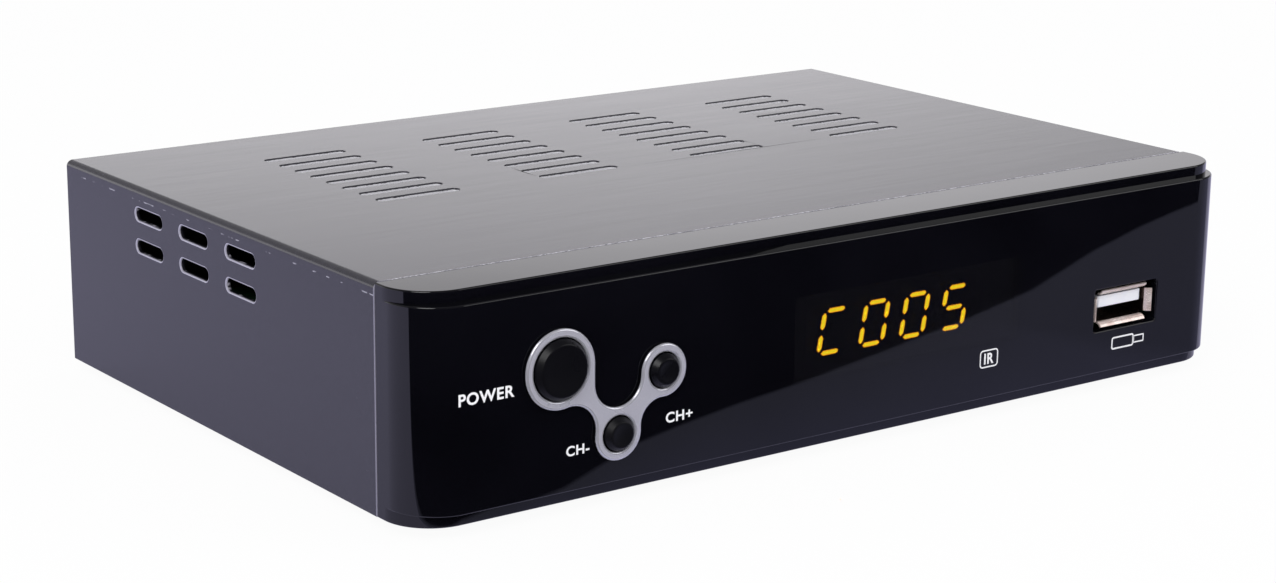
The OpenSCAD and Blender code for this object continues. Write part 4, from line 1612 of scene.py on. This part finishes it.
@dataclass
class MemorySocket:
    """The nickel socket at the right of the front: shell with flared lips, tongue and contacts.

    Attributes:
        x: its middle across the case.
        z: its middle above the floor.
        front: the Y of its lips.
        back: the Y of its rear end.
        half_w: half the width of its mouth.
        half_h: half the height of its mouth.
        wall: thickness of its sheet.
        corner: radius of its folded corners.
        flare: how far the lips turn outwards, in degrees.
        lip_rise: how far the lips above and below spread.
        lip_out: how far the lips at the sides spread.
        painted_shade_y: the Y behind which the shell is coloured dark brown, painted shade inside the socket.
        mouth_y: the Y where the lips begin.
        tongue_corner: rounding of the tongue's two upright corners.
        tongue_soft: rounding of its other edges.
    """

    x: float = 63.4
    z: float = 14.1
    front: float = -1.1
    back: float = 13.4
    half_w: float = 6.15
    half_h: float = 2.55
    wall: float = 0.4
    corner: float = 0.35
    flare: float = 68.0
    lip_rise: float = 0.85
    lip_out: float = 1.2
    painted_shade_y: float = 0.1
    mouth_y: float = 0.9
    tongue_corner: float = 0.55
    tongue_soft: float = 0.2

    def build(self) -> None:
        """Builds and dresses the socket."""
        self.shell()
        tongue = recast("memory_socket_tongue", "usb_tongue")
        for radius, steps, test in (
            (self.tongue_corner, 4, lambda m, a, t: t > SHARP and m.y < 0.5 and abs(a.z) > 0.9),
            (self.tongue_soft, 3, lambda m, a, t: t > SHARP and m.y < 1.0),
        ):
            round_edges(tongue, radius, test, steps)
        hand_over(polish(tongue), "tongue_white", "usb_tongue")
        softened("memory_socket_contacts", "usb_contacts", "contact_gold", 0.08)

    def shell(self) -> None:
        """The folded shell: a box open at the front, whose four edges flare into lips."""
        shell = block(
            "memory_socket_shell",
            (self.x - self.half_w, self.mouth_y, self.z - self.half_h),
            (self.x + self.half_w, self.back - self.wall, self.z + self.half_h),
        )
        round_edges(shell, self.corner, lambda m, a, t: abs(a.y) > ALONG, 4)
        select_faces(shell, lambda m, n: n.y < -ALONG)
        bpy.ops.mesh.delete(type="FACE")
        leave()
        for side_x, side_z, spread in (
            (0, 1, self.lip_rise),
            (0, -1, self.lip_rise),
            (1, 0, self.lip_out),
            (-1, 0, self.lip_out),
        ):
            self.lip(shell, Vector((side_x, 0, side_z)), spread)
        use_modifier(shell, "SOLIDIFY", thickness=self.wall / 1000, offset=1.0, use_even_offset=True)
        soften(shell, 0.07, 2, 50)
        # deeper in, the shell is dark brown: painted shade inside the socket
        for finish in (FINISHES["socket_nickel"], SOCKET_PAINTED_SHADE):
            shell.data.materials.append(finish.material())
        paint_faces(shell, 1, lambda m, n: m.y > self.painted_shade_y)
        hand_over(polish(shell, 35), "socket_nickel", "usb_shell", extra=[SOCKET_PAINTED_SHADE])

    def lip(self, shell: Piece, side: Vector, spread: float) -> None:
        """Draws one straight edge of the mouth forwards and curls it outwards.

        Args:
            shell: the open shell.
            side: which edge it is, as the direction outwards.
            spread: how far the lip spreads.
        """
        mouth_y = self.mouth_y
        turn = math.radians(self.flare)
        radius = spread / (1 - math.cos(turn))
        start_y = self.front + radius * math.sin(turn)
        angles = [turn * i / 6 for i in range(7)]
        path = [(0.0, mouth_y)] if start_y < mouth_y else []
        path += [
            (radius * (1 - math.cos(a)), min(start_y - radius * math.sin(a), mouth_y)) for a in angles
        ]

        def on_side(m: Vector, a: Vector, t: float) -> bool:
            """Accepts the straight edge of the mouth on the lip's side."""
            middle = (m - Vector((self.x, mouth_y, self.z))).dot(side)
            reach = self.half_w if side.x else self.half_h
            return abs(m.y - mouth_y) < NEAR and abs(middle - reach) < NEAR and abs(a.dot(side)) < NEAR

        select_edges(shell, on_side)
        for (out, y), (next_out, next_y) in zip(path, path[1:]):
            step = (side * (next_out - out) + Vector((0, next_y - y, 0))) / 1000
            bpy.ops.mesh.extrude_edges_move(TRANSFORM_OT_translate={"value": step})
        leave()


# The rear sockets


@dataclass
class RearSockets:
    """The sockets on the rear wall and the words beside them.

    Attributes:
        aerial_x: middles of the two aerial sockets.
        aerial_z: their height.
        thread_pitch: distance from thread to thread.
        thread_y: where the threads start and end.
        core_r: the radius at their root.
        crest_r: the radius at their crest.
        barrel: the half section of an aerial socket.
        sleeve_lip: rounding of a picture or sound socket's lip.
        lip_y: the Y behind which the lip lies.
        sleeve_root: rounding of the sleeve's root.
        root_y: the Y before which the root lies.
    """

    aerial_x: Pair = (75.0, 57.0)
    aerial_z: float = 18.8
    thread_pitch: float = 0.794
    thread_y: Pair = (121.3, 129.2)
    core_r: float = 4.36
    crest_r: float = 4.76
    barrel: tuple[Pair, ...] = (
        (0, 116.5), (5.6, 116.5), (5.6, 117.7), (4.36, 117.7), (4.36, 129.2), (4.15, 129.5),
        (3.6, 129.5), (3.4, 129.3), (3.4, 117.0), (0, 117.0),
    )
    sleeve_lip: float = 0.35
    lip_y: float = 128.0
    sleeve_root: float = 0.12
    root_y: float = 121.0

    def build(self) -> None:
        """Builds and dresses every rear socket."""
        self.aerials()
        self.jacks()
        self.others()
        self.words()

    def thread(self, name: str, x: float) -> Piece:
        """One screw thread as a closed ridge that winds around an aerial socket.

        Args:
            name: the object's name.
            x: the socket's middle across the case.

        Returns:
            The new object.
        """
        y0, y1 = self.thread_y
        # the ridge is 84% as wide as the pitch, its crest is narrow and its root lies in the barrel
        half = self.thread_pitch * 0.42
        root, crest = x + self.core_r - 0.1, x + self.crest_r - 0.02
        points = [
            (root, y0, self.aerial_z),
            (crest, y0 + half * 0.85, self.aerial_z),
            (crest, y0 + half * 1.15, self.aerial_z),
            (root, y0 + half * 2, self.aerial_z),
        ]
        ridge = trace(name, points)
        bpy.ops.mesh.select_all(action="SELECT")
        bpy.ops.mesh.edge_face_add()
        leave()
        bpy.context.scene.cursor.location = place(x, 0, self.aerial_z)
        hold(ridge)
        bpy.ops.object.origin_set(type="ORIGIN_CURSOR")
        turns = int((y1 - y0) / self.thread_pitch) - 1
        edit(ridge, Pick.FACE, "SELECT")
        bpy.ops.mesh.delete(type="ONLY_FACE")
        leave()
        use_modifier(
            ridge,
            "SCREW",
            axis="Y",
            angle=math.tau,
            screw_offset=self.thread_pitch / 1000,
            iterations=turns,
            steps=40,
            render_steps=40,
            use_merge_vertices=False,
        )
        settle(ridge, name)
        edit(ridge, Pick.EDGE, "SELECT")
        bpy.ops.mesh.fill_holes(sides=8)
        bpy.ops.mesh.select_all(action="SELECT")
        bpy.ops.mesh.normals_make_consistent(inside=False)
        leave()
        return ridge

    def aerials(self) -> None:
        """The two screw-on aerial sockets with their nuts, insulators and contacts."""
        for name, node, x in (
            ("aerial_in_barrel", "aerial_in_socket", self.aerial_x[0]),
            ("aerial_out_barrel", "aerial_out_socket", self.aerial_x[1]),
        ):
            barrel = polish(turned(name, self.barrel, (x, self.aerial_z)))
            ridge = polish(self.thread(name + "_ridge", x), 50)
            hand_over(gather(name, [barrel, ridge]), "aerial_nickel", node)
        softened("aerial_nut_pair", "aerial_nuts", "aerial_nickel", 0.25)
        softened("aerial_in_bush", "aerial_in_insulator", "insulator_white", 0.15)
        softened("aerial_out_bush", "aerial_out_insulator", "insulator_white", 0.15)
        keep_node("aerial_contacts", "contact_gold")

    def jacks(self) -> None:
        """The three picture and sound sockets with rolled sleeves and coloured inserts."""
        for side, slot in (
            ("video", "insert_yellow"),
            ("left_sound", "insert_white"),
            ("right_sound", "insert_red"),
        ):
            sleeve = recast(side + "_collar", side + "_sleeve")
            round_edges(sleeve, self.sleeve_lip, lambda m, a, t: t > SHARP and m.y > self.lip_y, 4)
            round_edges(sleeve, self.sleeve_root, lambda m, a, t: t > SHARP and m.y < self.root_y, 2)
            nickel = FINISHES["aerial_nickel"]
            hand_over(polish(sleeve), "socket_nickel", side + "_sleeve", main=nickel)
            softened(side + "_bush", side + "_insert", slot, 0.2, 3)
        softened("jack_holder", "jack_block", "block_black", 0.25)

    def others(self) -> None:
        """The picture socket and the power inlet."""
        for name, node, slot, soft in (
            ("picture_socket_shell", "hdmi_shell", "can_tinplate", 0.15),
            ("picture_socket_tongue", "hdmi_tongue", "tongue_black", 0.12),
            ("inlet_body", "power_inlet", "inlet_black", 0.3),
            ("inlet_centre_pin", "power_inlet_pin", "screw_zinc", 0.3),
        ):
            softened(name, node, slot, soft, 3)
        keep_node("tuner_can", "can_tinplate")

    def words(self) -> None:
        """The plain words on the rear wall."""
        for name, text, middle, width, low, high in (
            ("word_aerial_in", "AERIAL IN", 76, 15, 6.6, 8.2),
            ("word_to_tv", "TO TV", 57, 8.5, 6.6, 8.2),
            ("word_video", "VIDEO", -8, 8.5, 6.6, 8.2),
            ("word_left", "L", -22, 1.2, 6.6, 8.2),
            ("word_right", "R", -36, 1.4, 6.6, 8.2),
            ("word_digital", "DIGITAL AV", 28, 15, 18.6, 20.2),
            ("word_supply", "DC 5V", -53, 8.5, 24.2, 25.8),
        ):
            left, right = middle - width / 2, middle + width / 2
            word = Word(name, text, left, right, low, high, 0.01, Facing.REAR)
            hand_over(word.build(), "base_paint", main=REAR_INK)


# The boards


@dataclass
class Boards:
    """The main board with everything on it, as far as the vents let it be seen."""

    def build(self) -> None:
        """Dresses the solids on the main board."""
        for node, slot in (
            ("main_board", "main_board_green"),
            ("board_pillars", "pillar_brass"),
            ("board_screws", "screw_zinc"),
            ("processor", "chip_black"),
            ("thermal_pad", "thermal_grey"),
            ("heat_sink", "sink_aluminium"),
            ("memory_chip", "chip_black"),
            ("flash_chip", "chip_black"),
            ("regulators", "chip_black"),
            ("capacitors", "capacitor_sleeve"),
            ("inductors", "inductor_ferrite"),
            ("crystal", "crystal_steel"),
            ("chip_parts", "chip_ceramic"),
            ("board_header", "header_white"),
            ("ribbon_cable", "ribbon_grey"),
        ):
            keep_node(node, slot)


# The studio


@dataclass
class Studio:
    """The pale floor, the soft light, the card that the gloss reflects, and the camera.

    Attributes:
        camera_at: the camera's place in the shared frame, in metres.
        look_at: the point in the middle of the picture.
        roll: the camera's roll in degrees.
        lens: focal length for a 36 mm wide sensor.
        sky: strength of the ambient light.
        before: strength of the surround before the box, as reflections see it.
        aim: the point that the lamps are turned to, in metres.
        floor_size: how wide the floor is.
        floor_z: its height, at the soles of the feet.
        floor_shade: the share of the floor's own shading that the camera sees.
        gloss_shade: the share of it that reflections see.
        card_line: where the card turns from pale to dark, as X and Y on the floor.
        card_back: the card's edge next to the box.
        card_z: the card's height.
        card_dim_x: the X beyond which the card's near part is less bright.
        card_reach: how far the card's tone takes to turn dark, and how far it stays dark.
        bright: the card's tone next to the box, linear.
        dim: the same beyond card_dim_x.
        edge: its tone along card_line.
        dark: its tone beyond that.
    """

    camera_at: Point = (-0.297917, -0.399325, 0.144035)
    look_at: Point = (-0.002933, -0.0031, 0.015184)
    roll: float = 0.659
    lens: float = 76.634
    sky: float = 0.62
    before: float = 0.12
    aim: Point = (0.0, 0.0, 0.02)
    floor_size: float = 12000.0
    floor_z: float = -2.0
    floor_shade: float = 0.05
    gloss_shade: float = 0.6
    card_line: tuple[Pair, ...] = (
        (-700, -3.6), (-90, -3.6), (-76, -6), (-61.3, -10.8), (-54.4, -12.7), (-40.3, -20),
        (-30.3, -25.1), (-18, -29.1), (-2, -33.4), (13.2, -36.7), (42.4, -44.5), (75.8, -54.1),
        (101.7, -63), (138.2, -80.5), (165.8, -91.7), (192.4, -100.8), (700, -280),
    )
    card_back: float = -3.0
    card_z: float = -1.9
    card_dim_x: float = 100.0
    card_reach: Pair = (1.5, 800.0)
    bright: tuple[float, ...] = (0.38, 0.38, 0.62, 1.0)
    dim: tuple[float, ...] = (0.25, 0.25, 0.40, 1.0)
    edge: tuple[float, ...] = (0.30, 0.30, 0.42, 1.0)
    dark: tuple[float, ...] = (0.012, 0.01, 0.02, 1.0)

    def build(self) -> None:
        """Sets up the floor, the light and the camera."""
        self.floor()
        self.dark_card()
        self.world()
        self.lamps()
        self.camera()
        bpy.context.scene.view_settings.view_transform = "Standard"

    def seen(self, tree: Tree, *kinds: str) -> Socket:
        """A value of 1 for some kinds of ray, and 0 for the others.

        Args:
            tree: the node tree of the floor or the world.
            *kinds: the kinds, by the light path node's own words.

        Returns:
            The socket with the value.
        """
        first, *others = [add_node(tree, "LightPath", {}, f"Is {kind} Ray") for kind in kinds]
        for other in others:
            first = add_node(tree, "Math", {0: first, 1: other}, operation="MAXIMUM")
        return first

    def floor(self) -> None:
        """The white floor, which keeps the object's shadow and is a little blue in reflections."""
        bpy.ops.object.select_all(action="DESELECT")
        bpy.ops.mesh.primitive_plane_add(size=self.floor_size / 1000, location=place(0, 0, self.floor_z))
        floor = settle(bpy.context.object, "studio_floor")
        made = bpy.data.materials.new("white_floor")
        tree = blank_tree(made)
        glossy = self.seen(tree, "Glossy")
        ends = {0: glossy, 6: linear("#ffffff"), 7: linear("#dad7f8")}
        tint = add_node(tree, "Mix", ends, 2, data_type="RGBA")
        body = add_node(tree, "BsdfDiffuse", {"Color": tint})
        glow = add_node(tree, "Emission", {"Strength": 1.0, "Color": tint})
        more = self.gloss_shade - self.floor_shade
        in_gloss = add_node(tree, "Math", {0: glossy, 1: more}, operation="MULTIPLY")
        seen = self.seen(tree, "Camera", "Glossy", "Transmission")
        share = add_node(tree, "Math", {0: seen, 1: 1 - self.floor_shade}, operation="MULTIPLY")
        eased = add_node(tree, "Math", {0: share, 1: in_gloss}, operation="SUBTRACT")
        mixed = add_node(tree, "MixShader", {0: eased, 1: body, 2: glow})
        add_node(tree, "OutputMaterial", {"Surface": mixed})
        floor.data.materials.append(made)

    def card_tone(self, spot: Vector) -> tuple[float, ...]:
        """Says how bright the card is at one of its corners.

        Args:
            spot: the corner in the case's millimetres.

        Returns:
            Its linear colour.
        """
        on_line = any(math.hypot(spot.x - x, spot.y - y) < 0.05 for x, y in self.card_line)
        if spot.y > self.card_back - NEAR:
            return self.bright if spot.x < self.card_dim_x else self.dim
        return self.edge if on_line else self.dark

    def dark_card(self) -> None:
        """The card before the box, pale near it and dark beyond, which only reflections see."""
        card = trace("studio_card", [(x, y, self.card_z) for x, y in self.card_line])
        bpy.ops.mesh.select_all(action="SELECT")
        bpy.ops.mesh.extrude_region_move(TRANSFORM_OT_translate={"value": (0, 0, 0)})
        bpy.ops.transform.resize(value=(1, 0, 1), center_override=place(0, self.card_back, self.card_z))
        leave()
        shape = edit(card, Pick.VERTEX)
        for corner in shape.verts:
            corner.select_set(in_case(corner.co).y < self.card_back - NEAR)
        shape.select_flush_mode()
        bmesh.update_edit_mesh(card.data)
        for reach in self.card_reach:
            bpy.ops.mesh.extrude_region_move(TRANSFORM_OT_translate={"value": (0, -reach / 1000, 0)})
        leave()
        tones = card.data.attributes.new("tone", "FLOAT_COLOR", "POINT")
        for corner, tone in zip(card.data.vertices, tones.data):
            tone.color = self.card_tone(in_case(corner.co))
        made = bpy.data.materials.new("card_tones")
        tree = blank_tree(made)
        tone = add_node(tree, "Attribute", {}, "Color", attribute_name="tone")
        glow = add_node(tree, "Emission", {"Strength": 1.0, "Color": tone})
        add_node(tree, "OutputMaterial", {"Surface": glow})
        card.data.materials.append(made)
        card.visible_camera = False
        card.visible_diffuse = False
        card.visible_shadow = False
        card.visible_transmission = False

    def world(self) -> None:
        """White for the camera, a soft sky for light, and a shaped surround for reflections.

        The surround is white behind the box, brightest near the floor, and dark before it.
        """
        world = bpy.data.worlds.new("studio_surround")
        bpy.context.scene.world = world
        tree = blank_tree(world)
        # each runs from one strength to another between two levels of the ray's direction
        behind, low_down, to_right = (
            add_node(
                tree,
                "MapRange",
                {"Value": level(tree, axis), **dict(zip(("From Min", "From Max", "To Min", "To Max"), ends))},
                interpolation_type=way,
            )
            for axis, ends, way in (
                ("Y", (-0.1, 0.35, 0.0, 1.0), "SMOOTHSTEP"),
                ("Z", (0.19, 0.3, 1.62, 0.5), "SMOOTHSTEP"),
                ("Y", (0.62, 0.78, 0.6, 1.0), "LINEAR"),
            )
        )
        evened = add_node(tree, "Math", {0: low_down, 1: to_right}, operation="MULTIPLY")
        tone = add_node(tree, "Mix", {0: behind, 2: self.before, 3: evened}, data_type="FLOAT")
        sky, shaped, white = (
            add_node(tree, "Background", {"Color": linear(colour), "Strength": strength})
            for colour, strength in (("#fafaff", self.sky), ("#fdfbff", tone), ("#ffffff", 1.0))
        )
        lit = add_node(tree, "MixShader", {0: self.seen(tree, "Glossy"), 1: sky, 2: shaped})
        clear = self.seen(tree, "Camera", "Transmission")
        mixed = add_node(tree, "MixShader", {0: clear, 1: lit, 2: white})
        add_node(tree, "OutputWorld", {"Surface": mixed})

    def lamps(self) -> None:
        """A large soft key light at the upper left and a weaker one at the right."""
        for name, at, size, power in (
            ("key_light", (-0.75, -0.55, 0.85), 0.7, 6.0),
            ("fill_light", (0.8, -0.7, 0.6), 0.8, 2.5),
        ):
            lamp = bpy.data.lights.new(name, "AREA")
            lamp.shape = "DISK"
            lamp.size = size
            lamp.energy = power
            held = bpy.data.objects.new(name, lamp)
            bpy.context.scene.collection.objects.link(held)
            held.location = at
            held.rotation_euler = (Vector(self.aim) - Vector(at)).to_track_quat("-Z", "Y").to_euler()

    def camera(self) -> None:
        """The camera at the photograph's viewing angle."""
        held = bpy.data.cameras.new("photo_camera")
        held.sensor_fit = "HORIZONTAL"
        held.sensor_width = 36.0
        held.lens = self.lens
        held.clip_start = 0.01
        held.clip_end = 50.0
        camera = bpy.data.objects.new("photo_camera", held)
        bpy.context.scene.collection.objects.link(camera)
        back = (Vector(self.camera_at) - Vector(self.look_at)).normalized()
        right = Vector((0, 0, 1)).cross(back).normalized()
        up = back.cross(right)
        roll = math.radians(self.roll)
        side = math.cos(roll) * right + math.sin(roll) * up
        top = back.cross(side)
        turn = Matrix((side, top, back)).transposed().to_4x4()
        camera.matrix_world = Matrix.Translation(self.camera_at) @ turn
        bpy.context.scene.camera = camera


def main() -> None:
    """Builds the whole object and its studio."""
    logging.basicConfig(level=logging.INFO, format="%(name)s: %(message)s")
    for part in (
        SteelCase(),
        GlossFront(),
        NumberDisplay(),
        MemorySocket(),
        RearSockets(),
        Boards(),
        Studio(),
    ):
        log.info("building %s", type(part).__name__)
        part.build()
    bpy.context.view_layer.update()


if __name__ == "__main__":
    main()
